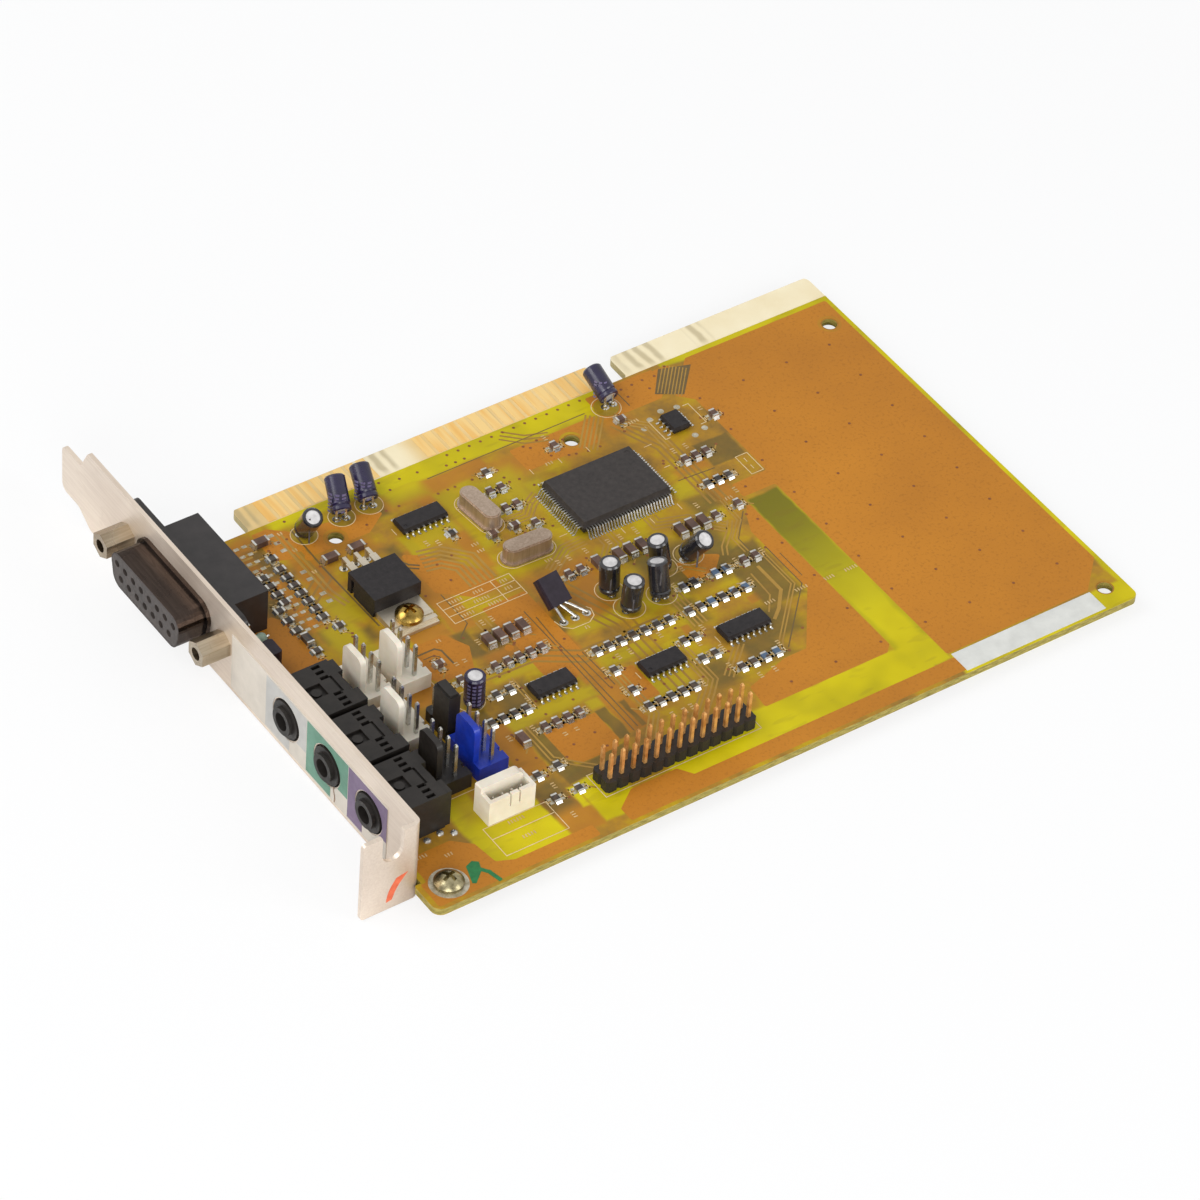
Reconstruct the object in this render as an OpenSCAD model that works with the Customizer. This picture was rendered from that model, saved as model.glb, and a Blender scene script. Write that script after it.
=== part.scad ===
// Sound card for a 16-bit expansion slot, lying with its component side up.
// The bracket's lower long edge and the solder joints touch the surface below.
// X runs from the bracket to the far edge, Y from the near long edge to the
// edge contacts, Z up from the surface that the card lies on.

/* [Board] */
// Distance from the bracket's outer face to the far edge of the board
board_l = 156.6; // [150:0.1:180]
// Distance from the near long edge to the tip of the edge contacts
board_w = 106.6; // [104:0.1:125]
// Thickness of the board
board_t = 1.6; // [1.2:0.1:2]
// Thickness of the copper and its coating on each face
skin_t = 0.05; // [0.03:0.01:0.1]
// Diameter of the four tooling holes
tooling_d = 3; // [2:0.1:4]
// Distance of the corner tooling hole from the board's edges
tooling_inset = 4.6; // [4:0.1:6]
// Distance from the contacts' tip to the row of tooling holes
tooling_row = 16.6; // [14:0.1:18]

/* [Edge contacts] */
// Depth of the tongues that go into the slot
tongue_h = 6.9; // [6.5:0.1:7.5]
// Start of the long tongue
long_tongue_x = 23.5; // [22:0.1:25]
// Width of the long tongue
long_tongue_w = 80.8; // [80:0.1:82]
// Width of the gap between the tongues
tongue_gap = 4.9; // [4:0.1:6]
// Start of the long tongue to the centre of its first contact
contact_first = 2.84; // [2.4:0.01:3.2]
// Centre of the last contact to the end of the long tongue
contact_last = 1.76; // [1.4:0.01:2.2]
// Start of the short tongue to the centre of its first contact
short_first = 3.1; // [2.6:0.01:3.4]
// Centre of the last contact to the end of the short tongue
short_last = 1.12; // [1:0.01:2]
// Width of one contact
contact_w = 1.78; // [1.2:0.01:2]
// Height of the bevel along the contact edge
bevel = 0.5; // [0.2:0.1:0.7]

/* [Bracket] */
// Thickness of the bracket's sheet
sheet_t = 0.86; // [0.7:0.01:1.2]
// Width of the bracket
bracket_w = 18.42; // [17:0.01:22]
// Length of the bracket from the tab's outer face to the tip
bracket_l = 120.6; // [119:0.1:126]
// How far the bracket reaches below the board
bracket_below = 1.63; // [1.5:0.01:2]
// Distance from the near long edge to the tab's outer face
tab_y = 7.6; // [7:0.1:8.5]
// Reach of the tab from the bracket's face
tab_l = 11.43; // [10:0.01:12]
// Outer radius of the tab's fold
fold_r = 1.4; // [1.3:0.1:2]
// Width of the screw notch in the tab
notch_w = 4.4; // [4.2:0.1:4.8]
// Depth of the screw notch
notch_h = 6.5; // [5:0.1:8]
// Distance of the notch's centre from the bracket's face
notch_x = 5.2; // [4.5:0.1:6]
// Width of the tongue at the bracket's tip
tip_w = 10.7; // [9:0.1:11]
// Length of the tongue at the bracket's tip
tip_l = 6.6; // [5:0.1:8]

/* [Audio jacks] */
// Diameter of the plug that the jacks take
plug_d = 3.6; // [3.5:0.05:3.8]
// Height of the jacks' axis above the board
jack_axis_h = 4.7; // [4.4:0.1:6]
// Height of the jack's body
jack_h = 8.6; // [8:0.1:12]
// Width of the jack's body
jack_w = 12.4; // [11:0.1:13]
// Length of the jack's body
jack_l = 12.4; // [11:0.1:14]
// Centre-to-centre pitch of the jacks
jack_pitch = 13.6; // [13.2:0.1:15]
// Place of the middle jack along the bracket
jack_y = 36.4; // [35:0.1:38]
// Diameter of the jack's collar in the bracket
collar_d = 7.8; // [7:0.1:8.4]

/* [Game port] */
// Place of the port's centre along the bracket
port_y = 88; // [87:0.1:89]
// Height of the port's centre above the board
port_h = 6.3; // [6:0.1:6.5]
// Outer width of the port's shell
shell_w = 24.4; // [24:0.1:25.5]
// Outer height of the port's shell
shell_h = 7.9; // [7.6:0.1:8.4]
// Reach of the shell from the bracket's face
shell_out = 6.5; // [5:0.1:7]
// Thickness of the shell's sheet
shell_t = 0.45; // [0.3:0.05:0.6]
// Centre-to-centre distance of the two jack screws
screw_span = 33.32; // [33:0.01:34]
// Length of the jack screws' hexagon
hex_l = 5.95; // [4:0.05:7]
// Width across the flats of the jack screws
hex_af = 4.75; // [4.5:0.05:5]
// Diameter of the jack screws' threaded hole
screw_hole_d = 2.6; // [2.4:0.1:3]
// Height of the port's rear housing
port_rear_h = 9.6; // [9:0.1:12]
// Height of the flange behind the bracket
flange_h = 12.5; // [9:0.1:12.5]
// Flange beyond the centre of a jack screw
flange_rim = 2.89; // [2.6:0.01:3.2]

/* [Chips] */
// Length of the codec's body
codec_l = 20; // [19:0.1:21]
// Width of the codec's body
codec_w = 14; // [13:0.1:15]
// Height of the codec's top above the board
codec_h = 2.85; // [2:0.05:3.4]
// Pitch of the codec's leads
codec_pitch = 0.65; // [0.6:0.01:0.68]
// Width of the small chips' bodies
so_w = 3.9; // [3.5:0.1:4.2]
// Height of the small chips' tops above the board
so_h = 1.6; // [1.4:0.05:2]
// Pitch of the small chips' leads
so_pitch = 1.27; // [1.2:0.01:1.3]

/* [Capacitors and other parts] */
// Diameter of the round capacitors
cap_d = 4; // [3.5:0.1:4.6]
// Length of the round capacitors
cap_l = 7; // [6:0.1:9]
// Length of a crystal's can
can_l = 10.2; // [9:0.1:11]
// Width of a crystal's can
can_w = 3.7; // [3:0.1:4.2]
// Height of a crystal's can
can_h = 3.5; // [3:0.1:5]
// Width of the regulator's body
reg_w = 10.2; // [9.5:0.1:10.6]
// Length of the regulator's body
reg_l = 9; // [8.5:0.1:9.4]
// Thickness of the regulator's body
reg_h = 4.5; // [4:0.1:4.8]

/* [Headers] */
// Pitch of the header pins
pin_pitch = 2.54; // [2.5:0.01:2.6]
// Side of a square header pin
pin_s = 0.64; // [0.5:0.01:0.7]
// Number of pin pairs on the feature header
feature_pairs = 13; // [8:1:14]
// Height of the feature header's moulding
feature_h = 2.5; // [2:0.1:3]
// Height of the feature header's pin tips above the board
feature_pin_h = 8.58; // [7:0.1:10]
// Number of pins on each locking header
lock_pins = 4; // [3:1:4]
// Height of the locking headers' base
lock_h = 3.4; // [3:0.1:4]
// Depth of the locking headers' base
lock_w = 6.3; // [6:0.1:6.6]
// Height of the locking wall above the board
wall_h = 11.4; // [9:0.1:12]
// Thickness of the locking wall
wall_t = 1.2; // [0.9:0.1:1.4]
// Height of the locking headers' pin tips above the board
lock_pin_h = 11; // [9:0.1:12]

/* [Leads] */
// Length of the lead ends below the board
tail_l = 1.2; // [0.8:0.1:1.5]
// Diameter of the round leads
lead_d = 0.5; // [0.4:0.05:0.6]
// Gap round a lead in its hole
lead_gap = 0.12; // [0.05:0.01:0.2]
// Width of a solder joint
joint_d = 1.9; // [1.6:0.1:2.2]

/* [Hidden] */
$fn = 40;
eps = 0.01;
rest_h = bracket_below;
board_top = rest_h + board_t;
mid_x = (board_l - tab_l) / 2;
mid_y = (tab_y + bracket_l) / 2;
shoulder_y = board_w - tongue_h;
tip_y = tab_y + bracket_l;
jack_ys = [jack_y + jack_pitch, jack_y, jack_y - jack_pitch];
body_x = sheet_t + 0.14;
label_t = 0.1;

// Places that are counted from the contact edge or the far edge
cap_row_y = board_w - 12.4;
port_rear_w = 24.3;
short_tongue_x = long_tongue_x + long_tongue_w + tongue_gap;

function unit(v) = v / norm(v);

// Points of one rounded corner b between the neighbours a and c
function corner(a, b, c, r, n = 6) =
    r == 0 ? [b] :
    let (u = unit(a - b), v = unit(c - b), half = acos(u * v) / 2,
        d = r / tan(half), m = b + unit(u + v) * (r / sin(half)),
        s = b + u * d - m, e = b + v * d - m,
        turn = (s.x * e.y - s.y * e.x) > 0 ? 1 : -1, start = atan2(s.y, s.x))
    [for (i = [0:n]) let (t = start + turn * (180 - 2 * half) * i / n) m + r * [cos(t), sin(t)]];

// Outline p with the corner radii r
function rounded(p, r) = let (k = len(p))
    [for (i = [0:k - 1]) each corner(p[(i + k - 1) % k], p[i], p[(i + 1) % k], r[i])];

function same(r, k) = [for (i = [1:k]) r];

// Everything is placed from the board's near corner under the bracket's face
module at(x, y, z = 0) {
    translate([x - mid_x, y - mid_y, z + board_top]) children();
}

// Shapes drawn in the bracket's plane: x along the bracket, y up, extruded away from the slot
module upright() {
    rotate([90, 0, 90]) children();
}

module rod(p, q, d) {
    v = q - p;
    translate(p) rotate([0, acos(v.z / norm(v)), atan2(v.y, v.x)]) cylinder(d = d, h = norm(v));
}

/* Lead places, each [x, y, diameter of the hole it needs] */
reg_x = 35.6;
reg_y = 72.5;
reg_lead_y = reg_y + reg_l / 2 + 5.2;
feature_x = 42.78;
feature_y = 9.72;
lock_a_x = 18.8;
lock_b_x = 26.7;
lock_y1 = 23.9;
lock_y2 = 36.4;
lock_y3 = 49;
jumper_x = 25.4;
jumper_y = 35.3;
cd_x = 23.8;
cd_y = 14.6;
cd_pitch = 2;
transistor_x = 62.5;
transistor_y = 49.2;
mute_x = 7.5;
mute_y = 66.9;
choke_x = 7.8;
choke_y = 71.9;
leg_pitch = 1.27;
choke_reach = 2.15;
square_hole = pin_s * sqrt(2) + 2 * lead_gap;
round_hole = lead_d + 2 * lead_gap;

// Round capacitors: ring centre x, y, foot height, tilt, heading of the tilt
black_caps = [[31.9, cap_row_y - 0.1, 1.1, 31, -98], [71.8, 51.7, 0.9, 3, 180],
    [72.5, 45.8, 0.9, 4, -90], [79.1, 45.5, 1, 19, 85], [83.7, 51.8, 0.9, 11, 160],
    [89.6, 51.9, 1.3, 33, -74]];
blue_caps = [[40, cap_row_y - 0.3, 1.8, 58, 72], [46.2, cap_row_y, 1.8, 60, 76],
    [101.4, cap_row_y + 0.4, 2, 70, 90], [33.8, 39.8, 0.9, 4, -140]];
all_caps = concat(black_caps, blue_caps);
cap_lead_off = 0.9;
function cap_heading(c) = [cos(c[4]), sin(c[4])];
function cap_cross(c) = [-sin(c[4]), cos(c[4])];

// Crystals: centre x, y and turn of the can
crystals = [[62.9, 81.6, 95], [64.6, 68.3, -2]];
crystal_lead_off = 2.44;

function row_spots(x, y, nx, px, ny, py, d) =
    [for (i = [0:nx - 1], j = [0:ny - 1]) [x + i * px, y + j * py, d]];
cap_spots = [for (c = all_caps, s = [-1, 1])
    [c[0] + s * cap_lead_off * cap_cross(c).x, c[1] + s * cap_lead_off * cap_cross(c).y, round_hole]];
crystal_spots = [for (c = crystals, s = [-1, 1])
    [c[0] + s * crystal_lead_off * cos(c[2]), c[1] + s * crystal_lead_off * sin(c[2]), round_hole]];
feature_spots = row_spots(feature_x, feature_y, feature_pairs, pin_pitch, 2, pin_pitch, square_hole);
lock_spots = [for (p = [[lock_a_x, lock_y1], [lock_a_x, lock_y2], [lock_a_x, lock_y3],
    [lock_b_x, lock_y1], [lock_b_x, lock_y3]]) each
    row_spots(p.x, p.y, 1, 0, lock_pins, pin_pitch, square_hole)];
jumper_spots = row_spots(jumper_x, jumper_y, 1, 0, 3, pin_pitch, square_hole);
cd_spots = row_spots(cd_x - 1.5 * cd_pitch, cd_y, 4, cd_pitch, 1, 0, square_hole);
pin_spots = concat(feature_spots, lock_spots, jumper_spots, cd_spots);
reg_spots = row_spots(reg_x - 2.54, reg_lead_y, 3, 2.54, 1, 0, 1.3);
transistor_spots = row_spots(transistor_x - 2 * leg_pitch, transistor_y, 3, 2 * leg_pitch, 1, 0, round_hole);
mute_spots = row_spots(mute_x, mute_y - leg_pitch, 1, 0, 3, leg_pitch, round_hole);
choke_spots = [for (s = [-1, 1]) [choke_x + s * choke_reach, choke_y, round_hole]];
port_pitch = 2.77;
port_rows = [[8, 5.6], [7, 8.4]];
port_spots = [for (r = port_rows, i = [0:r[0] - 1])
    [r[1] + 0.9, port_y + (i - (r[0] - 1) / 2) * port_pitch, round_hole + 0.1]];
jack_tail_s = 0.8;
jack_spots = [for (y = jack_ys, p = [[3.2, -4.6], [3.2, 4.6], [10.2, -4.6], [10.2, 0], [10.2, 4.6]])
    [body_x + p.x, y + p.y, jack_tail_s * sqrt(2) + 2 * lead_gap]];
round_spots = concat(cap_spots, crystal_spots, transistor_spots, mute_spots, choke_spots);

board_screw_x = 5.2;
board_screw_y = 4.8;
board_screw_d = 3.2;
reg_screw_y = reg_y - reg_l / 2 - 3.9;
reg_screw_d = 3;
tooling_spots = [[36.3, board_w - tooling_row], [89.6, board_w - tooling_row],
    [board_l - tooling_inset + 0.3, board_w - tooling_row + 2.4],
    [board_l - tooling_inset + 0.3, tooling_inset + 0.4]];

module holes_2d(grow = 0) {
    for (s = concat(pin_spots, round_spots, reg_spots, port_spots, jack_spots))
        translate([s.x, s.y]) circle(d = s.z + 2 * grow, $fn = 24);
    for (s = tooling_spots) translate(s) circle(d = tooling_d + 2 * grow);
    translate([board_screw_x, board_screw_y]) circle(d = board_screw_d + 2 * grow);
    translate([reg_x, reg_screw_y]) circle(d = reg_screw_d + 2 * lead_gap + 2 * grow);
}

// Board outline: the corner beside the tab reaches out to the bracket's face
board_pts = [[-0.4, 0], [board_l, 0], [board_l, board_w], [short_tongue_x, board_w],
    [short_tongue_x, shoulder_y], [short_tongue_x - tongue_gap, shoulder_y],
    [short_tongue_x - tongue_gap, board_w], [long_tongue_x, board_w],
    [long_tongue_x, shoulder_y], [body_x, shoulder_y], [body_x, tab_y - 0.3],
    [-0.4, tab_y - 0.3]];
board_radii = [2, 1.6, 1.8, 1.8, 0.8, 0.8, 1.8, 1.8, 0.8, 0.6, 0, 0.4];

module board_2d(inset = 0) {
    polygon(rounded(board_pts, board_radii));
}

module circuit_board() {
    color([0.93, 0.9, 0.72]) difference() {
        at(0, 0, skin_t - board_t) linear_extrude(board_t - 2 * skin_t) difference() {
            board_2d();
            holes_2d();
        }
        for (side = [0, 1]) at(board_l / 2, board_w, -side * board_t)
            rotate([45, 0, 0]) cube([board_l + 20, bevel * sqrt(2), bevel * sqrt(2)], center = true);
    }
}

module mask_area_2d() {
    difference() {
        intersection() {
            board_2d();
            translate([-5, -5]) square([board_l + 10, shoulder_y + 5]);
        }
        holes_2d(0.25);
    }
}

// Copper fields of the component side, as outlines in board coordinates
far_x = board_l - 0.9;
pours = [
    [[116, 6], [board_l - 7.6, 6], [far_x, 12.6], [far_x, shoulder_y - 1.2],
        [short_tongue_x + 12.8, shoulder_y - 1.2], [114, 90.4], [116.8, 87.6], [116.8, 64.2],
        [108.6, 64.2], [108.6, 60.2], [116, 60.2]],
    [[108.4, 59], [108.4, 13.6], [106.8, 12], [79, 12], [79.6, 17.6], [89.5, 20.6],
        [94.5, 20.6], [104.2, 33.6], [104.2, 51.6], [106, 55.6]],
    [[41.6, 0.8], [41.6, 4.2], [46, 7.4], [56, 7.4], [58, 4.6], [board_l - 8, 4.6],
        [board_l - 8, 0.8]],
    [[0.6, 0.8], [35, 0.8], [35, 3.6], [18.5, 3.6], [15.2, 5], [14.4, 10.4], [11, 13.4], [2, 13.4],
        [2, 7], [0.6, 7]],
    [[40.4, 27.6], [40.4, 19.4], [42, 17.4], [50.6, 17.4], [50.6, 25.4], [46, 27.6]],
    [[28.6, 56], [28.6, 52], [32, 47.4], [39, 47.4], [41.6, 53], [39, 58], [30, 58]],
    [[44, 80], [44, 68], [50, 63], [55.6, 63], [55.6, 68], [47.8, 77.6]],
    [[1.6, 78], [1.6, 57.6], [14.4, 57.6], [17.4, 62], [17.4, 73.6], [14.6, 78]],
    [[49, 60], [49, 36], [54, 36], [58.6, 41], [58.6, 60]],
    [[60, 33.6], [60, 24.6], [64.6, 24.6], [64.6, 33.6]],
    [[86.6, 51.6], [86.6, 46], [92, 46], [95.6, 49.6], [92, 51.6]]];

// Fields beside the contacts, counted down from the tongues' shoulder
edge_pours = [
    [[23, 1.1], [23, 9.3], [29.4, 11.7], [42.6, 11.7], [48, 8.1], [42.6, 6.3], [30, 4.1],
        [26.4, 1.1]],
    [[77.6, 6.1], [77.6, 12.7], [93.6, 12.7], [97.4, 6.1]],
    [[98.4, 1.1], [98.4, 8.5], [111.4, 8.5], [118.6, 1.1]]];
pour_corner = 0.5;

module pour_2d() {
    difference() {
        union() {
            for (p = pours) polygon(rounded(p, same(pour_corner, len(p))));
            for (p = edge_pours) polygon(rounded([for (q = p) [q.x, shoulder_y - q.y]],
                same(pour_corner, len(p))));
        }
        for (s = tooling_spots) translate(s) circle(d = tooling_d + 1.8);
        for (s = concat(pin_spots, round_spots, reg_spots, port_spots, jack_spots))
            translate([s.x, s.y]) circle(d = s.z + 0.9, $fn = 24);
        translate([board_screw_x, board_screw_y]) circle(d = screw_pad_d);
        translate([reg_x, reg_screw_y]) circle(d = screw_pad_d - 1);
    }
}

screw_pad_d = 7.4;

module solder_mask() {
    color([0.8, 0.66, 0.16]) {
        at(0, 0, -skin_t) linear_extrude(skin_t) difference() {
            mask_area_2d();
            pour_2d();
            tinned_2d();
        }
        at(0, 0, -board_t) linear_extrude(skin_t) difference() {
            mask_area_2d();
            joints_2d();
        }
    }
}

module copper_pour() {
    color([0.8, 0.5, 0.17]) at(0, 0, -skin_t) linear_extrude(skin_t) intersection() {
        mask_area_2d();
        pour_2d();
    }
}

top_contacts = [2, 3, 4, 5, 6, 7, 8, 9, 10, 11, 16, 17, 18, 19, 20, 21, 22, 23, 24, 25, 26, 27,
    28, 29, 30, 31];
under_contacts = [1, 2, 3, 4, 5, 7, 9, 10, 13, 14, 15, 17, 20, 21, 22, 23, 24, 25, 29, 31];
under_short_contacts = [3, 4, 6, 8, 9, 10, 11, 16];
contact_count = 31;
short_count = 18;
contact_gap = 0.3;
contact_x0 = long_tongue_x + contact_first;
contact_pitch = (long_tongue_w - contact_first - contact_last) / (contact_count - 1);
short_contact_x0 = short_tongue_x + short_first;
short_pitch = (board_l - short_tongue_x - short_first - short_last) / (short_count - 1);
short_contact_w = contact_w * short_pitch / contact_pitch;

module contact(x, w, z) {
    at(x - w / 2, shoulder_y + contact_gap, z) cube([w, tongue_h - contact_gap - bevel, skin_t]);
}

module edge_contacts() {
    color([0.95, 0.72, 0.32]) {
        for (i = top_contacts) contact(contact_x0 + (i - 1) * contact_pitch, contact_w, -skin_t);
        for (i = under_contacts) contact(contact_x0 + (i - 1) * contact_pitch, contact_w, -board_t);
        for (i = under_short_contacts)
            contact(short_contact_x0 + (i - 1) * short_pitch, short_contact_w, -board_t);
    }
}

// The tinned ring under the corner screw and the test pads beside the memory chip
test_pads = [[105.8, 87.2], [109, 88.2], [112.4, 87.6], [113.6, 80], [110.8, 79.2], [103.4, 85.6]];

module tinned_2d() {
    translate([board_screw_x, board_screw_y]) circle(d = screw_pad_d);
    for (p = test_pads) translate(p) circle(d = 1.3);
}

module tinned_pads() {
    color([0.72, 0.72, 0.7]) at(0, 0, -skin_t) linear_extrude(skin_t) difference() {
        tinned_2d();
        translate([board_screw_x, board_screw_y]) circle(d = board_screw_d);
    }
}

module joints_2d() {
    for (s = concat(pin_spots, round_spots, reg_spots, port_spots, jack_spots))
        translate([s.x, s.y]) circle(d = s.z, $fn = 24);
}

// A solder fillet: a cone under the board round the lead, its tip level with the lead's end
module joint(s, d, hole) {
    at(s.x, s.y, -board_t - tail_l) difference() {
        cylinder(d1 = d * 0.55, d2 = d, h = tail_l, $fn = 24);
        translate([0, 0, -eps]) children();
    }
}

module solder_joints() {
    color([0.75, 0.75, 0.73]) {
        for (s = pin_spots) joint(s, joint_d) square_core(pin_s);
        for (s = jack_spots) joint(s, joint_d + 0.4) square_core(jack_tail_s);
        for (s = round_spots) joint(s, joint_d - 0.3) cylinder(d = lead_d, h = 3, $fn = 24);
        for (s = port_spots) joint(s, joint_d - 0.1) cylinder(d = lead_d + 0.1, h = 3, $fn = 24);
        for (s = reg_spots) joint(s, joint_d) translate([-0.4, -0.25, 0]) cube([0.8, 0.5, 3]);
    }
}

module square_core(w) {
    translate([-w / 2, -w / 2, 0]) cube([w, w, 3]);
}

/* Bracket */
bracket_top = bracket_w - board_t - bracket_below;
bracket_low = bracket_top - bracket_w;
tip_mid = (bracket_top + bracket_low) / 2 - 1;
plate_y0 = tab_y + fold_r;
step_y = tip_y - tip_l;
plate_pts = [[plate_y0, bracket_low], [step_y - 3.6, bracket_low], [step_y + 0.6, tip_mid - tip_w / 2],
    [tip_y, tip_mid - tip_w / 2], [tip_y, tip_mid + tip_w / 2], [step_y, tip_mid + tip_w / 2],
    [step_y - 2.6, bracket_top], [plate_y0, bracket_top]];
plate_radii = [0, 2.4, 2.4, 1.8, 1.2, 0.6, 0.6, 0];
lug_l = 9;
lug_y0 = 1.2;
collar_gap = 0.3;

// D outline of the game port, grown by g all round
function d_outline(g) = let (w = shell_w / 2 + g, h = shell_h / 2 + g, in = 2 * h * tan(10))
    rounded([[-w + in, -h], [w - in, -h], [w, h], [-w, h]], same(2.6 + g, 4));

module mounting_bracket() {
    color([0.82, 0.77, 0.72]) difference() {
        union() {
            at(0, 0) upright() linear_extrude(sheet_t) polygon(rounded(plate_pts, plate_radii));
            fold();
            at(0, tab_y + sheet_t, 0) rotate([90, 0, 0]) linear_extrude(sheet_t)
                polygon(rounded([[-tab_l, bracket_low], [sheet_t - fold_r, bracket_low],
                    [sheet_t - fold_r, bracket_top], [-tab_l, bracket_top]], [0.8, 0, 0, 0.8]));
            at(sheet_t - eps, lug_y0, -board_t - sheet_t)
                cube([lug_l - sheet_t, plate_y0 + 4 - lug_y0, sheet_t]);
        }
        at(-notch_x - notch_w / 2, tab_y - 1, bracket_top - notch_h + notch_w / 2)
            cube([notch_w, sheet_t + 2, notch_h]);
        at(-notch_x, tab_y - 1, bracket_top - notch_h + notch_w / 2)
            rotate([-90, 0, 0]) cylinder(d = notch_w, h = sheet_t + 2);
        for (y = jack_ys) at(-1, y, jack_axis_h) rotate([0, 90, 0])
            cylinder(d = collar_d + 2 * collar_gap, h = sheet_t + 2);
        at(-1, port_y, port_h) upright() linear_extrude(sheet_t + 2) polygon(d_outline(0.3));
        for (s = [-1, 1]) at(-1, port_y + s * screw_span / 2, port_h) rotate([0, 90, 0])
            cylinder(d = stud_d + 0.3, h = sheet_t + 2);
        at(board_screw_x, board_screw_y, -board_t - sheet_t - 1)
            cylinder(d = board_screw_shank, h = sheet_t + 2);
    }
}

// The quarter round between the plate and the tab
module fold() {
    at(sheet_t - fold_r, tab_y + fold_r, bracket_low) difference() {
        intersection() {
            cylinder(r = fold_r, h = bracket_w);
            translate([-eps, -2 * fold_r, 0]) cube([2 * fold_r, 2 * fold_r + eps, bracket_w]);
        }
        translate([0, 0, -1]) cylinder(r = fold_r - sheet_t, h = bracket_w + 2);
    }
}

/* Port label: a printed film on the bracket's face */
label_y0 = 17;
label_y1 = port_y - screw_span / 2 - hex_af / cos(30) / 2 - 0.2;
label_z0 = bracket_low + 0.9;
label_z1 = bracket_top - 4.4;
field_w = 13.4;
field_cut_w = 5.4;
field_cut_h = 4.4;
wide_cut_w = 8.6;

module label_holes() {
    for (y = jack_ys) translate([y, jack_axis_h]) circle(d = collar_d + 2 * collar_gap + 0.4);
}

module port_label() {
    color([0.8, 0.79, 0.75]) at(-label_t, 0) upright() linear_extrude(label_t) difference() {
        translate([label_y0, label_z0]) square([label_y1 - label_y0, label_z1 - label_z0]);
        label_holes();
    }
}

// One printed field round a jack, with the lower near corner cut away
module label_field(y, cut_w, cut_h) {
    at(-label_t - skin_t, 0) upright() linear_extrude(skin_t) difference() {
        translate([y - field_w / 2, label_z0 + 0.4]) square([field_w, label_z1 - label_z0 - 0.8]);
        translate([y - field_w / 2 - 1, label_z0 - 1]) square([cut_w + 1, cut_h + 1]);
        label_holes();
    }
}

module label_blue_field() {
    color([0.72, 0.76, 0.78]) label_field(jack_ys[0], field_cut_w, field_cut_h);
}

module label_green_field() {
    color([0.38, 0.6, 0.5]) label_field(jack_ys[1], field_cut_w, field_cut_h);
}

module label_purple_field() {
    color([0.55, 0.48, 0.6]) intersection() {
        label_field(jack_ys[2], wide_cut_w, field_cut_h);
        at(-1, label_y0, label_z0) cube([2, field_w * 2, bracket_w]);
    }
}

/* Game port */
stud_d = 2.9;
flange_w = screw_span + 2 * flange_rim;
flange_t = 0.8;
block_x = sheet_t + flange_t;
block_end = 3.4;
rear_end = 12.3;
lip_g = 0.8;

module flange_2d() {
    difference() {
        polygon(rounded([[-flange_w / 2, -flange_h / 2], [flange_w / 2, -flange_h / 2],
            [flange_w / 2, flange_h / 2], [-flange_w / 2, flange_h / 2]], same(1.6, 4)));
        for (s = [-1, 1]) translate([s * screw_span / 2, 0]) circle(d = stud_d + 0.2);
    }
}

module game_port_shell() {
    color([0.42, 0.38, 0.36]) difference() {
        union() {
            at(sheet_t, port_y, port_h) upright() linear_extrude(flange_t) flange_2d();
            at(-shell_out, port_y, port_h) upright()
                linear_extrude(shell_out + sheet_t + eps) polygon(d_outline(0));
            at(-lip_g, port_y, port_h) upright() linear_extrude(lip_g) polygon(d_outline(lip_g));
        }
        at(-shell_out - 1, port_y, port_h) upright()
            linear_extrude(shell_out + sheet_t + flange_t + 2) polygon(d_outline(-shell_t));
    }
}

module game_port_insert() {
    color([0.3, 0.3, 0.31]) difference() {
        at(-shell_out, port_y, port_h) upright()
            linear_extrude(shell_out + block_x) polygon(d_outline(-shell_t));
        for (r = [[8, 1.42], [7, -1.42]], i = [0:r[0] - 1])
            at(-shell_out - 1, port_y + (i - (r[0] - 1) / 2) * port_pitch, port_h + r[1])
                rotate([0, 90, 0]) cylinder(d = 1.5, h = 6, $fn = 20);
    }
}

module game_port_housing() {
    color([0.16, 0.16, 0.17]) {
        difference() {
            union() {
                at(block_x, port_y, port_h) upright() linear_extrude(block_end - block_x)
                    polygon(rounded([[-flange_w / 2, -flange_h / 2], [flange_w / 2, -flange_h / 2],
                        [flange_w / 2, flange_h / 2], [-flange_w / 2, flange_h / 2]], same(1.6, 4)));
                at(block_x, port_y - port_rear_w / 2, 0)
                    cube([rear_end - block_x, port_rear_w, port_rear_h]);
            }
            for (s = [-1, 1]) at(block_x - 1, port_y + s * screw_span / 2, port_h)
                rotate([0, 90, 0]) cylinder(d = stud_d + 0.2, h = 5);
            at(5.2, port_y - port_rear_w / 2 + 1.2, -1)
                cube([rear_end - 4, port_rear_w - 2.4, 1 + 0.9]);
        }
    }
}

module game_port_contacts() {
    color([0.8, 0.78, 0.72]) for (s = port_spots)
        at(s.x, s.y, -board_t - tail_l) cylinder(d = lead_d + 0.1, h = tail_l + board_t + 0.9, $fn = 20);
}

// Sheet straps behind the flange's ends; the near one has a foot on the board
clip_t = 0.4;
clip_w = 6.6;
clip_rise = 4.7;
clip_foot_l = 2;
clip_foot_w = 3;

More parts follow.
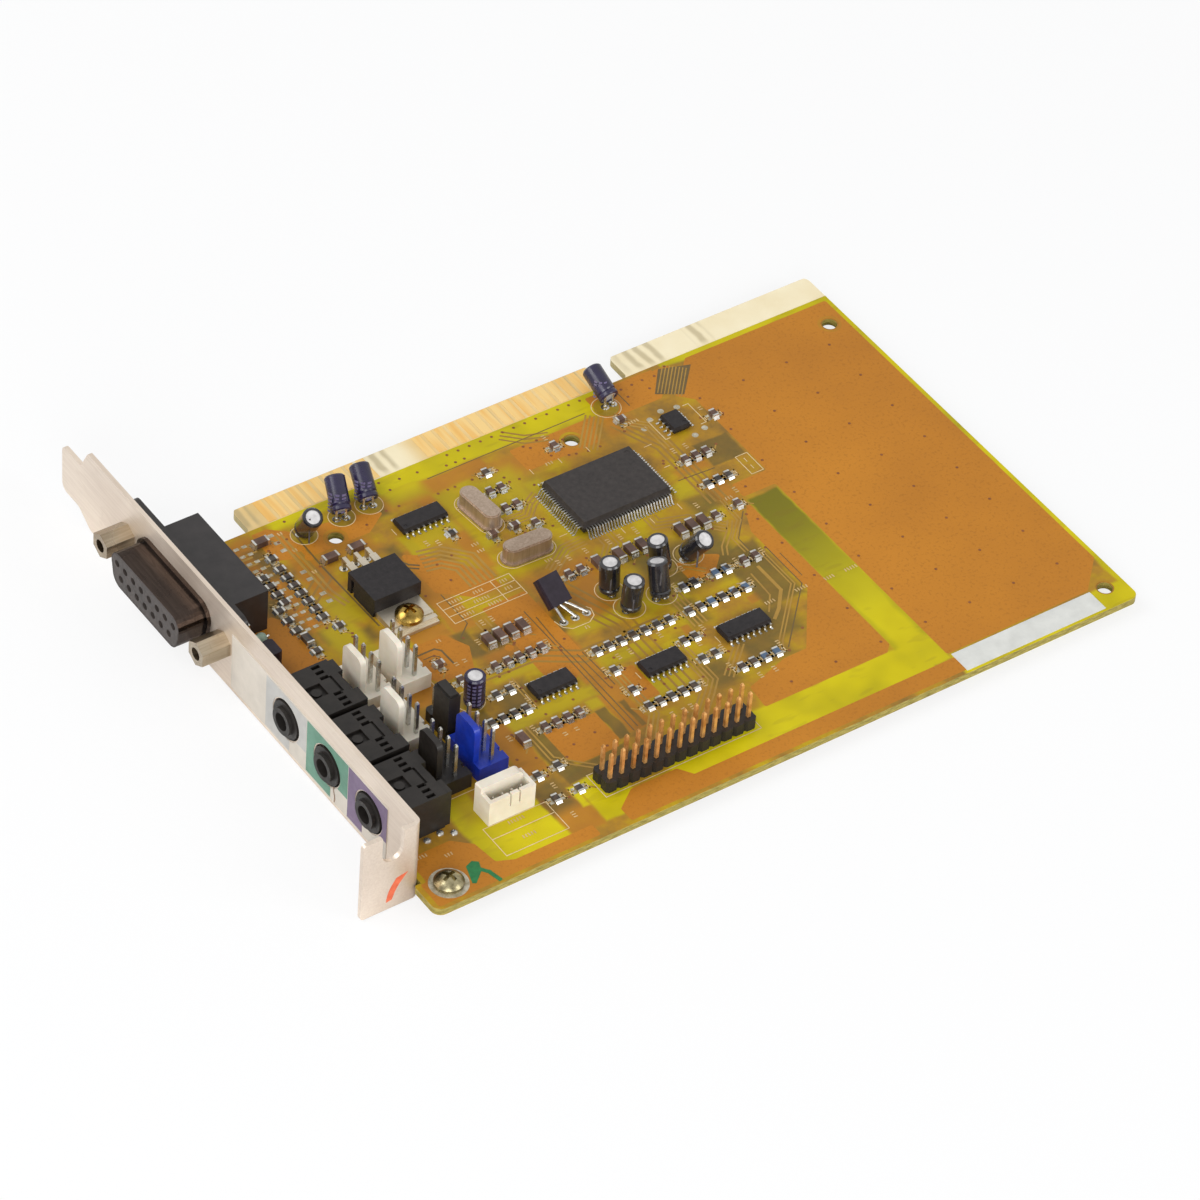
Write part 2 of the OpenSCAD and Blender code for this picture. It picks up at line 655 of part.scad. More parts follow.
module game_port_clips() {
    color([0.75, 0.73, 0.7]) for (s = [-1, 1]) difference() {
        union() {
            at(block_end, port_y + s * (flange_w / 2 - clip_w / 2 - 0.1) - clip_w / 2, 0)
                cube([clip_t, clip_w, port_h + clip_rise]);
            if (s < 0) at(block_end, port_y - port_rear_w / 2 - 0.6 - clip_foot_w, 0)
                cube([clip_foot_l, clip_foot_w, clip_t]);
        }
        at(block_end - 1, port_y + s * screw_span / 2, port_h)
            rotate([0, 90, 0]) cylinder(d = stud_d + 0.2, h = 3);
    }
}

// Hexagonal posts with a threaded hole in the outer end and a stud through the flange
module jack_screws() {
    color([0.72, 0.68, 0.62]) for (s = [-1, 1])
        at(-hex_l, port_y + s * screw_span / 2, port_h) rotate([0, 90, 0]) difference() {
            union() {
                cylinder(d = hex_af / cos(30), h = hex_l, $fn = 6);
                cylinder(d = stud_d, h = hex_l + block_end + 1.8);
            }
            translate([0, 0, -1]) cylinder(d = screw_hole_d, h = 5.5);
        }
}

/* Audio jacks */
boss_d = 5.6;
boss_x = -1.2;
collar_x = -0.35;
slot_w = 0.8;

module jack_body(y) {
    color([0.17, 0.17, 0.18]) difference() {
        union() {
            at(body_x, y - jack_w / 2, 0) cube([jack_l - 1.2, jack_w, jack_h]);
            for (s = [-1, 1]) at(body_x + jack_l - 1.3, y + s * (jack_w / 2 - 2) - 1.7, 0)
                cube([1.3, 3.4, jack_h - 0.3]);
            at(body_x + jack_l - 1.3, y - 1.2, 0) cube([1, 2.4, jack_h - 1.4]);
            at(collar_x, y, jack_axis_h) rotate([0, 90, 0])
                cylinder(d = collar_d, h = body_x - collar_x + 1);
            at(boss_x, y, jack_axis_h) rotate([0, 90, 0])
                cylinder(d = boss_d, h = body_x - boss_x + 1);
        }
        at(boss_x - 1, y, jack_axis_h) rotate([0, 90, 0]) cylinder(d = plug_d, h = jack_l);
        at(body_x + 3.6, y - 1.6, jack_h - 0.7) cube([3.2, 3.2, 1]);
        for (s = [-1, 1], i = [-1:1])
            at(body_x + jack_l - 4.9, y + s * (jack_w / 2 - 2.4) + i * 1.5 - slot_w / 2, jack_h - 0.8)
                cube([1.7, slot_w, 1]);
        at(body_x + jack_l - 3.2, y - 2.2, jack_h - 0.5) cube([0.5, 4.4, 1]);
        at(body_x + 2, y - jack_w / 2 + 1.2, -1) cube([jack_l - 4.2, jack_w - 2.4, 1.7]);
    }
    color([0.2, 0.2, 0.21]) at(body_x + 5.2, y, jack_h - 0.71) cylinder(d = 2, h = 0.4);
}

module audio_jack_1() { jack_body(jack_ys[0]); }
module audio_jack_2() { jack_body(jack_ys[1]); }
module audio_jack_3() { jack_body(jack_ys[2]); }

module jack_contacts() {
    color([0.8, 0.79, 0.76]) for (s = jack_spots)
        at(s.x - jack_tail_s / 2, s.y - jack_tail_s / 2, -board_t - tail_l)
            cube([jack_tail_s, jack_tail_s, tail_l + board_t]);
}

/* Regulator lying on its tab */
reg_tab_t = 1.3;
reg_tab_y = reg_y - reg_l / 2 - 6.5;

module regulator_body() {
    color([0.2, 0.2, 0.21]) difference() {
        at(reg_x, reg_y, 0) union() {
            translate([-reg_w / 2, -reg_l / 2, reg_tab_t]) cube([reg_w, reg_l, reg_h - reg_tab_t]);
            translate([-reg_w / 2, -reg_l / 2 + 0.4, 0]) cube([0.5, reg_l - 0.4, reg_h]);
            translate([reg_w / 2 - 0.5, -reg_l / 2 + 0.4, 0]) cube([0.5, reg_l - 0.4, reg_h]);
        }
        for (s = [-1, 0, 1]) at(reg_x + s * 2.54 - 0.7, reg_y + 1, reg_tab_t + 0.9)
            cube([1.4, reg_l, 0.5]);
        for (s = [-1, 1]) at(reg_x + s * (reg_w / 2 - 0.2), reg_y + reg_l / 2 - 1.6, reg_tab_t)
            cube([1, 0.9, reg_h], center = true);
    }
}

// The tab with its two bright folded lips, and three leads cranked down to the board
module regulator_leadframe() {
    color([0.78, 0.77, 0.74]) {
        difference() {
            union() {
                at(reg_x - reg_w / 2 + 0.5, reg_tab_y, 0)
                    cube([reg_w - 1, reg_l + 5.4, reg_tab_t]);
                at(reg_x - reg_w / 2 + 0.5, reg_tab_y - 0.7, 0) cube([reg_w - 1, 0.8, reg_tab_t / 2]);
            }
            at(reg_x, reg_screw_y, -1) cylinder(d = reg_screw_d + 2 * lead_gap, h = 4);
            at(reg_x - reg_w / 2, reg_tab_y + 0.9, reg_tab_t - 0.3) cube([reg_w, 0.5, 1]);
        }
        for (s = [-1, 0, 1]) {
            at(reg_x + s * 2.54 - 0.7, reg_y + 1, reg_tab_t + 0.9)
                cube([1.4, reg_l / 2 + 2.6, 0.5]);
            at(reg_x + s * 2.54 - 0.4, reg_y + reg_l / 2 + 1, reg_tab_t + 0.9)
                cube([0.8, 4.45, 0.5]);
            at(reg_x + s * 2.54 - 0.4, reg_lead_y - 0.25, -board_t - tail_l)
                cube([0.8, 0.5, board_t + tail_l + reg_tab_t + 1.4]);
        }
    }
}

// Round head with a cross recess, drawn from the seat up, with its shank below
module pan_screw(head_d, head_h, shank_d, shank_l) {
    difference() {
        union() {
            intersection() {
                cylinder(d = head_d, h = head_h);
                translate([0, 0, head_h - head_d * 0.62]) sphere(d = head_d * 1.24);
            }
            translate([0, 0, -shank_l]) cylinder(d = shank_d, h = shank_l + eps);
        }
        for (a = [0, 90]) rotate([0, 0, a + 20]) translate([0, 0, head_h])
            cube([head_d * 0.52, head_d * 0.13, head_h * 1.1], center = true);
    }
}

reg_nut_h = 1.2;
board_screw_shank = 2.9;

module regulator_screw() {
    color([0.72, 0.6, 0.35]) at(reg_x, reg_screw_y, reg_tab_t)
        pan_screw(5.4, 2.2, reg_screw_d, reg_tab_t + board_t + reg_nut_h);
}

module regulator_nut() {
    color([0.75, 0.73, 0.68]) at(reg_x, reg_screw_y, -board_t - reg_nut_h) difference() {
        cylinder(d = 5.5 / cos(30), h = reg_nut_h, $fn = 6);
        translate([0, 0, -1]) cylinder(d = reg_screw_d, h = 4);
    }
}

module board_screw() {
    color([0.6, 0.56, 0.42]) at(board_screw_x, board_screw_y, 0)
        pan_screw(5.6, 2.1, board_screw_shank, board_t + sheet_t + 0.3);
}

/* Chips */
codec_x = 86.45;
codec_y = 73.96;
codec_span = 1.95;
lead_t = 0.15;
stand = 0.15;

// Moulded package: two shallow frusta meeting at the lead line, the top one flat-sided
module package(l, w, h) {
    lead_z = h * 0.52;
    taper = 0.12 * h;
    translate([0, 0, stand]) hull() {
        translate([0, 0, lead_z - stand]) cube([l, w, 0.02], center = true);
        translate([0, 0, h - stand - 0.01]) cube([l - 2 * taper, w - 2 * taper, 0.02], center = true);
        translate([0, 0, 0.01]) cube([l - 2 * taper, w - 2 * taper, 0.02], center = true);
    }
}

module codec_body() {
    color([0.22, 0.22, 0.23]) at(codec_x, codec_y, 0) difference() {
        package(codec_l, codec_w, codec_h);
        translate([codec_l / 2 - 1.7, codec_w / 2 - 1.7, codec_h - 0.1]) cylinder(d = 1.2, h = 1);
    }
}

// Gull-wing lead: out of the body, down, and along the board; drawn towards +X from the body's side
module gull(reach, w, z) {
    foot = 0.6;
    rotate([90, 0, 0]) translate([0, 0, -w / 2]) linear_extrude(w)
        polygon([[-0.3, z], [reach * 0.34, z], [reach - foot, 0], [reach, 0], [reach, lead_t],
            [reach - foot + 0.07, lead_t], [reach * 0.34 + 0.08, z + lead_t], [-0.3, z + lead_t]]);
}

codec_nx = 30;
codec_ny = 20;

module codec_leads() {
    z = codec_h * 0.52 - lead_t / 2;
    color([0.75, 0.74, 0.68]) at(codec_x, codec_y, 0) difference() {
        union() {
            for (i = [0:codec_nx - 1], s = [0, 1]) rotate([0, 0, 90 + 180 * s])
                translate([codec_w / 2, (i - (codec_nx - 1) / 2) * codec_pitch, 0])
                    gull(codec_span, 0.3, z);
            for (i = [0:codec_ny - 1], s = [0, 1]) rotate([0, 0, 180 * s])
                translate([codec_l / 2, (i - (codec_ny - 1) / 2) * codec_pitch, 0])
                    gull(codec_span, 0.3, z);
        }
        package(codec_l, codec_w, codec_h);
    }
}

// Small chips: x, y, number of leads on a side, turn
small_chips = [[52.3, 85.7, 8, 0], [109.1, 83.6, 4, 90], [48.5, 36.3, 7, 0], [69, 30.6, 7, 0],
    [87.6, 30.9, 8, 0]];

function so_len(c) = (c[2] - 1) * so_pitch + 1.05;

module small_chip(i) {
    c = small_chips[i];
    color([0.2, 0.18, 0.19]) at(c[0], c[1], 0) rotate([0, 0, c[3]]) difference() {
        package(so_len(c), so_w, so_h);
        translate([-so_len(c) / 2 + 0.9, -so_w / 2 + 0.9, so_h - 0.08]) cylinder(d = 0.8, h = 1);
    }
}

module logic_chip() { small_chip(0); }
module memory_chip() { small_chip(1); }
module filter_chip() { small_chip(2); }
module mixer_chip() { small_chip(3); }
module amplifier_chip() { small_chip(4); }

module small_chip_leads() {
    color([0.8, 0.79, 0.76]) for (c = small_chips) at(c[0], c[1], 0) rotate([0, 0, c[3]])
        difference() {
            for (i = [0:c[2] - 1], s = [0, 1]) rotate([0, 0, 90 + 180 * s])
                translate([so_w / 2, (i - (c[2] - 1) / 2) * so_pitch, 0])
                    gull(1.1, 0.42, so_h * 0.52 - lead_t / 2);
            package(so_len(c), so_w, so_h);
        }
}

/* Crystals: a drawn can with round ends on a flanged base */
module obround(l, w, h) {
    for (s = [-1, 1]) translate([s * (l - w) / 2, 0, 0]) cylinder(d = w, h = h);
    translate([-(l - w) / 2, -w / 2, 0]) cube([l - w, w, h]);
}

module crystal_cans() {
    color([0.68, 0.6, 0.56]) for (c = crystals) at(c[0], c[1], 0) rotate([0, 0, c[2]]) {
        obround(can_l + 0.8, can_w + 0.8, 0.5);
        obround(can_l, can_w, can_h - 0.25);
        obround(can_l - 0.5, can_w - 0.5, can_h);
    }
}

module crystal_leads() {
    color([0.8, 0.79, 0.76]) for (s = crystal_spots)
        at(s.x, s.y, -board_t - tail_l) cylinder(d = lead_d, h = tail_l + board_t, $fn = 20);
}

/* Round capacitors: a shrunk sleeve, the can inside it, and two bent leads */
module on_cap(c) {
    at(c[0], c[1], c[2]) rotate([0, c[3], c[4]]) children();
}

sleeve_t = 0.12;
crimp_z = 1.1;

module cap_sleeve(c) {
    r = cap_d / 2;
    on_cap(c) rotate_extrude() polygon([[r - 0.55, 0], [r - 0.15, 0], [r, 0.18],
        [r, crimp_z - 0.3], [r - 0.18, crimp_z], [r, crimp_z + 0.3], [r, cap_l - 0.3],
        [r - 0.25, cap_l], [r - 0.62, cap_l], [r - 0.62, cap_l - sleeve_t],
        [r - 0.35, cap_l - sleeve_t], [r - sleeve_t, cap_l - 0.35], [r - sleeve_t, crimp_z + 0.38],
        [r - sleeve_t - 0.18, crimp_z], [r - sleeve_t, crimp_z - 0.38], [r - sleeve_t, sleeve_t + 0.1],
        [r - 0.55, sleeve_t + 0.1]]);
}

module cap_can(c) {
    r = cap_d / 2 - sleeve_t;
    on_cap(c) rotate_extrude() polygon([[0, sleeve_t + 0.1], [r, sleeve_t + 0.1],
        [r, crimp_z - 0.38], [r - 0.18, crimp_z], [r, crimp_z + 0.38], [r, cap_l - 0.35],
        [r - 0.23, cap_l - sleeve_t], [0, cap_l - sleeve_t]]);
}

module black_capacitors() {
    color([0.13, 0.13, 0.14]) for (c = black_caps) cap_sleeve(c);
}

module blue_capacitors() {
    color([0.16, 0.13, 0.34]) for (c = blue_caps) cap_sleeve(c);
}

module capacitor_cans() {
    color([0.8, 0.8, 0.8]) for (c = all_caps) cap_can(c);
}

lead_bend_h = 0.35;
bead_d = lead_d + 0.1;

// Leads stand up from the board, bend at a bead and end flush against the can
module capacitor_leads() {
    color([0.8, 0.79, 0.76]) for (c = all_caps) {
        up = [sin(c[3]) * cos(c[4]), sin(c[3]) * sin(c[4]), cos(c[3])];
        way = unit([0, 0, c[2] - lead_bend_h] + up * (sleeve_t + 0.1));
        difference() {
            for (s = [-1, 1]) at(c[0] + s * cap_lead_off * cap_cross(c).x,
                c[1] + s * cap_lead_off * cap_cross(c).y, 0) {
                translate([0, 0, -board_t - tail_l])
                    cylinder(d = lead_d, h = tail_l + board_t + lead_bend_h - 0.1, $fn = 16);
                translate([0, 0, lead_bend_h]) sphere(d = bead_d, $fn = 16);
                rod([0, 0, lead_bend_h] + way * 0.1, [0, 0, lead_bend_h] + way * (c[2] + 0.6),
                    lead_d, $fn = 16);
            }
            on_cap(c) translate([0, 0, sleeve_t + 0.1]) cylinder(d = cap_d, h = 4);
        }
    }
}

/* Transistor, laid back on its legs */
trans_w = 4.9;
trans_l = 6;
trans_t = 3.2;
trans_tilt = 54;
trans_turn = 6;
trans_foot_h = 1.9;
trans_bend_h = 0.4;
// Middle of the body's foot, off the middle of the three leads
trans_off = [-1.6, 2.7];

module trans_frame() {
    at(transistor_x + trans_off.x, transistor_y + trans_off.y, trans_foot_h)
        rotate([0, 0, trans_turn]) rotate([-trans_tilt, 0, 0]) children();
}

// Moulded body with one flat side and a round back, standing along Z
module moulded_d(w, t, l) {
    intersection() {
        translate([-w / 2, -t * 0.36, 0]) cube([w, t, l]);
        cylinder(d = w * 1.02, h = l);
    }
}

module transistor_body() {
    color([0.14, 0.12, 0.15]) trans_frame() moulded_d(trans_w, trans_t, trans_l);
}

// Legs that fan in from the board to the body and end flush with its foot
module transistor_legs() {
    color([0.8, 0.79, 0.76]) difference() {
        for (i = [0:2]) at(transistor_spots[i].x, transistor_y, 0) {
            way = [trans_off.x - (i - 1) * leg_pitch, trans_off.y, trans_foot_h - trans_bend_h];
            translate([0, 0, -board_t - tail_l])
                cylinder(d = lead_d, h = tail_l + board_t + trans_bend_h - 0.1, $fn = 16);
            translate([0, 0, trans_bend_h]) sphere(d = bead_d + 0.1, $fn = 16);
            rod([0, 0, trans_bend_h] + unit(way) * 0.1, [0, 0, trans_bend_h] + way * 1.3,
                lead_d + 0.1, $fn = 16);
        }
        trans_frame() translate([-4, -4, 0]) cube([8, 8, trans_l]);
    }
}

mute_h = 1.6;
mute_w = 4;
mute_t = 3.2;
mute_l = 3.6;

module mute_transistor() {
    color([0.16, 0.1, 0.13]) at(mute_x, mute_y, mute_h) rotate([0, 0, 90])
        moulded_d(mute_w, mute_t, mute_l);
}

module mute_transistor_legs() {
    color([0.8, 0.79, 0.76]) for (s = mute_spots) at(s.x, s.y, -board_t - tail_l)
        cylinder(d = lead_d, h = tail_l + board_t + mute_h, $fn = 16);
}

choke_h = 2.6;
choke_d = 2;
choke_l = 2.4;

module green_choke() {
    color([0.55, 0.66, 0.58]) at(choke_x, choke_y, choke_h) rotate([0, 90, 0])
        difference() {
            union() {
                cylinder(d = choke_d, h = choke_l, center = true);
                for (s = [-1, 1]) translate([0, 0, s * choke_l * 0.27]) sphere(d = choke_d + 0.3);
            }
            cylinder(d = lead_d, h = 2 * choke_l, center = true);
        }
}

module choke_leads() {
    color([0.8, 0.79, 0.76]) {
        for (s = choke_spots) at(s.x, s.y, -board_t - tail_l)
            cylinder(d = lead_d, h = tail_l + board_t + choke_h - 0.1, $fn = 16);
        for (s = choke_spots) at(s.x, s.y, choke_h) sphere(d = bead_d, $fn = 16);
        at(choke_spots[0].x + 0.1, choke_y, choke_h) rotate([0, 90, 0])
            cylinder(d = lead_d, h = 2 * choke_reach - 0.2, $fn = 16);
    }
}

/* Surface parts: runs of equal chips, each [first x, y, step, how many, along X or not] */
chip_l = 2;
chip_w = 1.25;
resistor_h = 0.5;
capacitor_h = 0.95;
chip_end = 0.4;
chip_slope = 0.35;
seam = 0.03;
port_col = 2.45;
large = [3.2, 1.6, 1.2];
black = [2.9, 1.5, 1];
resistor_runs = [
    [[22.7, 73.1, 0, port_col], 7, false], [[24, 69.6, 0, 0], 1, false],
    [[22.9, 91, 0, 0], 1, false], [[18.7, 79.9, 0, port_col], 4, false],
    [[16.6, 72.4, 0, 3], 3, false], [[16.8, 69.3, 0, 0], 1, true, black],
    [[16.8, 66, 0, 0], 1, false], [[70.3, 90.6, 0, 0], 1, true], [[55.4, 79.8, 0, 0], 1, false],
    [[84.3, 45.6, 2.5, 0], 2, true], [[91.7, 45.6, 2.4, 0], 2, true],
    [[60.8, 39.8, 2.7, 0], 7, true], [[81.5, 39.7, 2.56, 0], 6, true],
    [[60.8, 23, 2.54, 0], 5, true], [[81.4, 22.6, 2.6, 0], 4, true],
    [[33.4, 18.6, 0, 0], 1, true], [[38, 18.9, 0, 0], 1, true], [[33, 12.2, 0, 0], 1, true],
    [[38, 12.2, 0, 0], 1, true], [[38.6, 39.6, 2.9, 0], 2, true], [[33.8, 33.9, 2.5, 0], 4, true],
    [[60.7, 33.9, 0, -6], 2, true], [[76.1, 33.7, 2.5, 0], 2, true],
    [[76.4, 28.1, 2.8, 0], 2, true], [[104.8, 66.6, 2.4, 0], 3, true]];
capacitor_runs = [
    [[23.2, 95.5, 0, 0], 1, false, large], [[32.2, 85.4, 0, 0], 1, false, large],
    [[37.9, 85.4, 0, 0], 1, false, large], [[85.5, 90, 0, 0], 1, true],
    [[100.7, 89.8, 0, 0], 1, false], [[117, 82, 0, 0], 1, true],
    [[67.8, 85.4, 2.5, 0], 2, true], [[67.8, 80.1, 2.5, 0], 2, true],
    [[61.8, 75.4, 4.8, 0], 2, false], [[70.4, 73.9, 0, 0], 1, true],
    [[104.8, 74, 2.4, 0], 3, true], [[67.8, 59, 2.7, 0], 2, true],
    [[74.2, 58.8, 0, 0], 1, true, large], [[78.8, 58.6, 2.6, 0], 3, true, large],
    [[92.6, 58.2, 2.55, 0], 3, true, large], [[100.7, 58.3, 0, 0], 1, true],
    [[106.2, 58.9, 0, 0], 1, true], [[45.1, 52, 2.5, 0], 4, true, large],
    [[42.4, 45.6, 0, 0], 1, true], [[45.1, 45.5, 2.47, 0], 4, true],
    [[33.9, 51.5, 0, 0], 1, false], [[35, 45.8, 0, 0], 1, true], [[98.1, 45.5, 2.6, 0], 2, true],
    [[36.1, 27.4, 0, 0], 1, true, large], [[41.4, 28, 2.47, 0], 4, true]];

module run(r) {
    for (i = [0:r[1] - 1]) at(r[0][0] + i * r[0][2], r[0][1] + i * r[0][3], 0)
        rotate([0, 0, r[2] ? 90 : 0]) children();
}

// Length, width and height of a run's chips
function chip_size(r, h) = len(r) > 3 ? r[3] : [chip_l, chip_w, h];

module chip_body(c) {
    translate([-c.x / 2 + chip_end, -c.y / 2, seam]) cube([c.x - 2 * chip_end, c.y, c.z]);
}

module chip_resistors() {
    color([0.2, 0.19, 0.18]) for (r = resistor_runs) run(r) chip_body(chip_size(r, resistor_h));
}

module chip_capacitors() {
    color([0.4, 0.27, 0.2]) for (r = capacitor_runs) run(r) chip_body(chip_size(r, capacitor_h));
}

// Tinned ends with a short solder slope outside
module ends(c) {
    for (s = [0, 1]) rotate([0, 0, 180 * s]) translate([c.x / 2 - chip_end, -c.y / 2, 0])
        rotate([90, 0, 0]) translate([0, 0, -c.y]) linear_extrude(c.y)
            polygon([[0, 0], [chip_end + chip_slope, 0], [chip_end, c.z * 0.75],
                [chip_end, c.z + seam], [0, c.z + seam]]);
}

module chip_ends() {
    color([0.8, 0.8, 0.78]) {
        for (r = resistor_runs) run(r) ends(chip_size(r, resistor_h));
        for (r = capacitor_runs) run(r) ends(chip_size(r, capacitor_h));
    }
}

/* Headers */
// One cut-cornered block of a pin strip, centred on its pin
module strip_block(h, wide = 1) {
    c = 0.5;
    w = pin_pitch / 2;
    l = wide * pin_pitch / 2;
    linear_extrude(h) polygon([[-l + c, -w], [l - c, -w], [l, -w + c], [l, w - c], [l - c, w],
        [-l + c, w], [-l, w - c], [-l, -w + c]]);
}

module feature_header() {
    color([0.13, 0.12, 0.12]) difference() {
        for (s = feature_spots) at(s.x, s.y, 0) strip_block(feature_h);
        for (s = feature_spots) at(s.x - pin_s / 2, s.y - pin_s / 2, -1)
            cube([pin_s, pin_s, feature_h + 2]);
    }
}

// A square pin from the solder joint to its chamfered tip
module pin(s, top) {
    at(s.x, s.y, 0) {
        translate([-pin_s / 2, -pin_s / 2, -board_t - tail_l])
            cube([pin_s, pin_s, board_t + tail_l + top - 0.4]);
        translate([0, 0, top - 0.4]) rotate([0, 0, 45])
            cylinder(d1 = pin_s * sqrt(2), d2 = pin_s * 0.7, h = 0.4, $fn = 4);
    }
}

module feature_pins() {
    color([0.86, 0.62, 0.3]) for (s = feature_spots) pin(s, feature_pin_h);
}

lock_len = lock_pins * pin_pitch;
wall_inset = 2.1;
lock_front = 3;

// Base along Y with a tall locking wall on its bracket side; its origin is the first pin
module lock_header(x, y) {
    at(x, y, 0) difference() {
        union() {
            translate([-lock_w + lock_front, -pin_pitch / 2, 0]) cube([lock_w, lock_len, lock_h]);
            translate([-lock_w + lock_front, -pin_pitch / 2 + wall_inset, 0]) rotate([90, 0, 90])
                linear_extrude(wall_t) polygon(rounded([[0, 0], [lock_len - 2 * wall_inset, 0],
                    [lock_len - 2 * wall_inset, wall_h], [0, wall_h]], [0, 0, 1.4, 1.4]));
            translate([-lock_w + lock_front + wall_t - eps, -pin_pitch / 2 + wall_inset + 0.4, wall_h - 2.4])
                rotate([-90, 0, 0]) linear_extrude(lock_len - 2 * wall_inset - 0.8)
                    polygon([[0, 0.8], [0.55, 0], [0, -0.5]]);
        }
        for (i = [0:lock_pins - 1]) translate([-pin_s / 2, i * pin_pitch - pin_s / 2, -1])
            cube([pin_s, pin_s, lock_h + 2]);
        for (i = [0:lock_pins - 2]) translate([lock_front - 0.6, (i + 0.5) * pin_pitch - 0.45, -1])
            cube([2, 0.9, lock_h + 2]);
    }
}

module white_headers() {
    color([0.88, 0.87, 0.83]) {
        lock_header(lock_a_x, lock_y2);
        lock_header(lock_a_x, lock_y3);
        lock_header(lock_b_x, lock_y3);
    }
}

module black_header() {
    color([0.12, 0.11, 0.11]) lock_header(lock_a_x, lock_y1);
}

module blue_header() {
    color([0.08, 0.15, 0.6]) lock_header(lock_b_x, lock_y1);
}

/* CD audio header: a narrow open box with a raised, round-cornered wall behind it */
cd_l = 9.9;
cd_w = 4.8;
cd_h = 5.6;
cd_wall = 0.8;
cd_slit = 2.1;
cd_floor = 2.6;
cd_rise = 1.3;
cd_back_in = 0.8;
cd_slot_w = 0.35;
cd_slot_h = 2.8;

module cd_header() {
    back = cd_w - cd_wall - cd_slit;
    color([0.88, 0.87, 0.83]) at(cd_x, cd_y, 0) difference() {
        union() {
            translate([-cd_l / 2, -cd_wall - cd_slit / 2, 0]) cube([cd_l, cd_w, cd_h]);
            translate([0, cd_slit / 2 + back, 0]) rotate([90, 0, 0]) linear_extrude(back)
                polygon(rounded([[-cd_l / 2, 0], [cd_l / 2 - cd_back_in, 0],
                    [cd_l / 2 - cd_back_in, cd_h + cd_rise], [-cd_l / 2, cd_h + cd_rise]],
                    [0, 0, 1.2, 0.3]));
        }
        translate([-cd_l / 2 + cd_wall, -cd_slit / 2, cd_floor])
            cube([cd_l - 2 * cd_wall, cd_slit, cd_h + 2 * cd_rise]);
        for (i = [-1.5:1.5]) translate([i * cd_pitch - pin_s / 2, -pin_s / 2, -1])
            cube([pin_s, pin_s, 4]);
        for (x = [-0.35, 1.6]) translate([x - cd_slot_w / 2, -cd_slit / 2 - cd_wall - 1, cd_h - cd_slot_h])
            cube([cd_slot_w, 1 + cd_wall + 0.2, cd_slot_h + 1]);
    }
}

module header_pins() {
    color([0.78, 0.74, 0.68]) {
        for (s = lock_spots) pin(s, lock_pin_h);
        for (s = jumper_spots) pin(s, jumper_pin_h);
        for (s = cd_spots) pin(s, cd_h - 0.8);
    }
}

/* Three-pin jumper with a tall cap over two pins */
jumper_h = 2.5;
jumper_pin_h = 8.4;
cap_top_h = 11.2;
cap_block_w = 2.4;
cap_block_l = 4.9;

module jumper_header() {
    color([0.13, 0.12, 0.12]) difference() {
        for (s = jumper_spots) at(s.x, s.y, 0) strip_block(jumper_h);
        for (s = jumper_spots) at(s.x - pin_s / 2, s.y - pin_s / 2, -1)
            cube([pin_s, pin_s, jumper_h + 2]);
    }
}

module jumper_cap() {
    color([0.1, 0.1, 0.11]) difference() {
        at(jumper_x, jumper_y + pin_pitch / 2, jumper_h) union() {
            translate([-cap_block_w / 2, -cap_block_l / 2, 0])
                cube([cap_block_w, cap_block_l, cap_top_h - jumper_h - 0.5]);
            translate([-cap_block_w / 2 + 0.3, -cap_block_l / 2 + 0.3, 0])
                cube([cap_block_w - 0.6, cap_block_l - 0.6, cap_top_h - jumper_h]);
        }
        for (i = [0, 1]) at(jumper_x - pin_s / 2, jumper_y + i * pin_pitch - pin_s / 2, 0)
            cube([pin_s, pin_s, jumper_pin_h]);
    }
}

sticker_w = 32.4;
sticker_h = 5;

module board_sticker() {
    color([0.9, 0.9, 0.9]) at(board_l - 7.6 - sticker_w, 0.5, 0)
        cube([sticker_w, sticker_h, label_t]);
}

circuit_board();
solder_mask();
copper_pour();
edge_contacts();
tinned_pads();
solder_joints();
mounting_bracket();
port_label();
label_blue_field();
label_green_field();
label_purple_field();
game_port_shell();
game_port_insert();
game_port_housing();
game_port_contacts();
game_port_clips();
jack_screws();
audio_jack_1();
audio_jack_2();
audio_jack_3();
jack_contacts();
regulator_body();
regulator_leadframe();
regulator_screw();
regulator_nut();
board_screw();
codec_body();
codec_leads();
logic_chip();
memory_chip();
filter_chip();
mixer_chip();
amplifier_chip();
small_chip_leads();
crystal_cans();
crystal_leads();
black_capacitors();
blue_capacitors();
capacitor_cans();
capacitor_leads();
transistor_body();
transistor_legs();
mute_transistor();
mute_transistor_legs();
green_choke();
choke_leads();
chip_resistors();
chip_capacitors();
chip_ends();
feature_header();
feature_pins();
white_headers();
black_header();
blue_header();
cd_header();
header_pins();
jumper_header();
jumper_cap();
board_sticker();
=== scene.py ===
"""Sound card for a 16-bit slot: the looks of the board, its printing, tracks and materials.

The card lies with its component side up. Lengths in the tables below are in millimetres on the
board: x from the bracket's face, y from the near long edge, z up from the board's top face.
Colours are given as they are seen, each part from 0 to 255.
"""

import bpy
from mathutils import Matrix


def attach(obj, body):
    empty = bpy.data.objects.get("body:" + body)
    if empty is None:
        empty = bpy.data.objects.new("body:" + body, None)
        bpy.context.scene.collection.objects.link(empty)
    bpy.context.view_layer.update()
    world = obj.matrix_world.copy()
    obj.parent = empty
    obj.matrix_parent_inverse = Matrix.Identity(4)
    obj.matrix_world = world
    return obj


bl_info = {
    "name": "Sound Card",
    "version": (1, 0, 0),
    "blender": (4, 5, 0),
    "location": "3D View > Sidebar > Sound Card",
    "description": "Builds the printing, tracks, pads and materials of a sound card",
    "category": "Object",
}

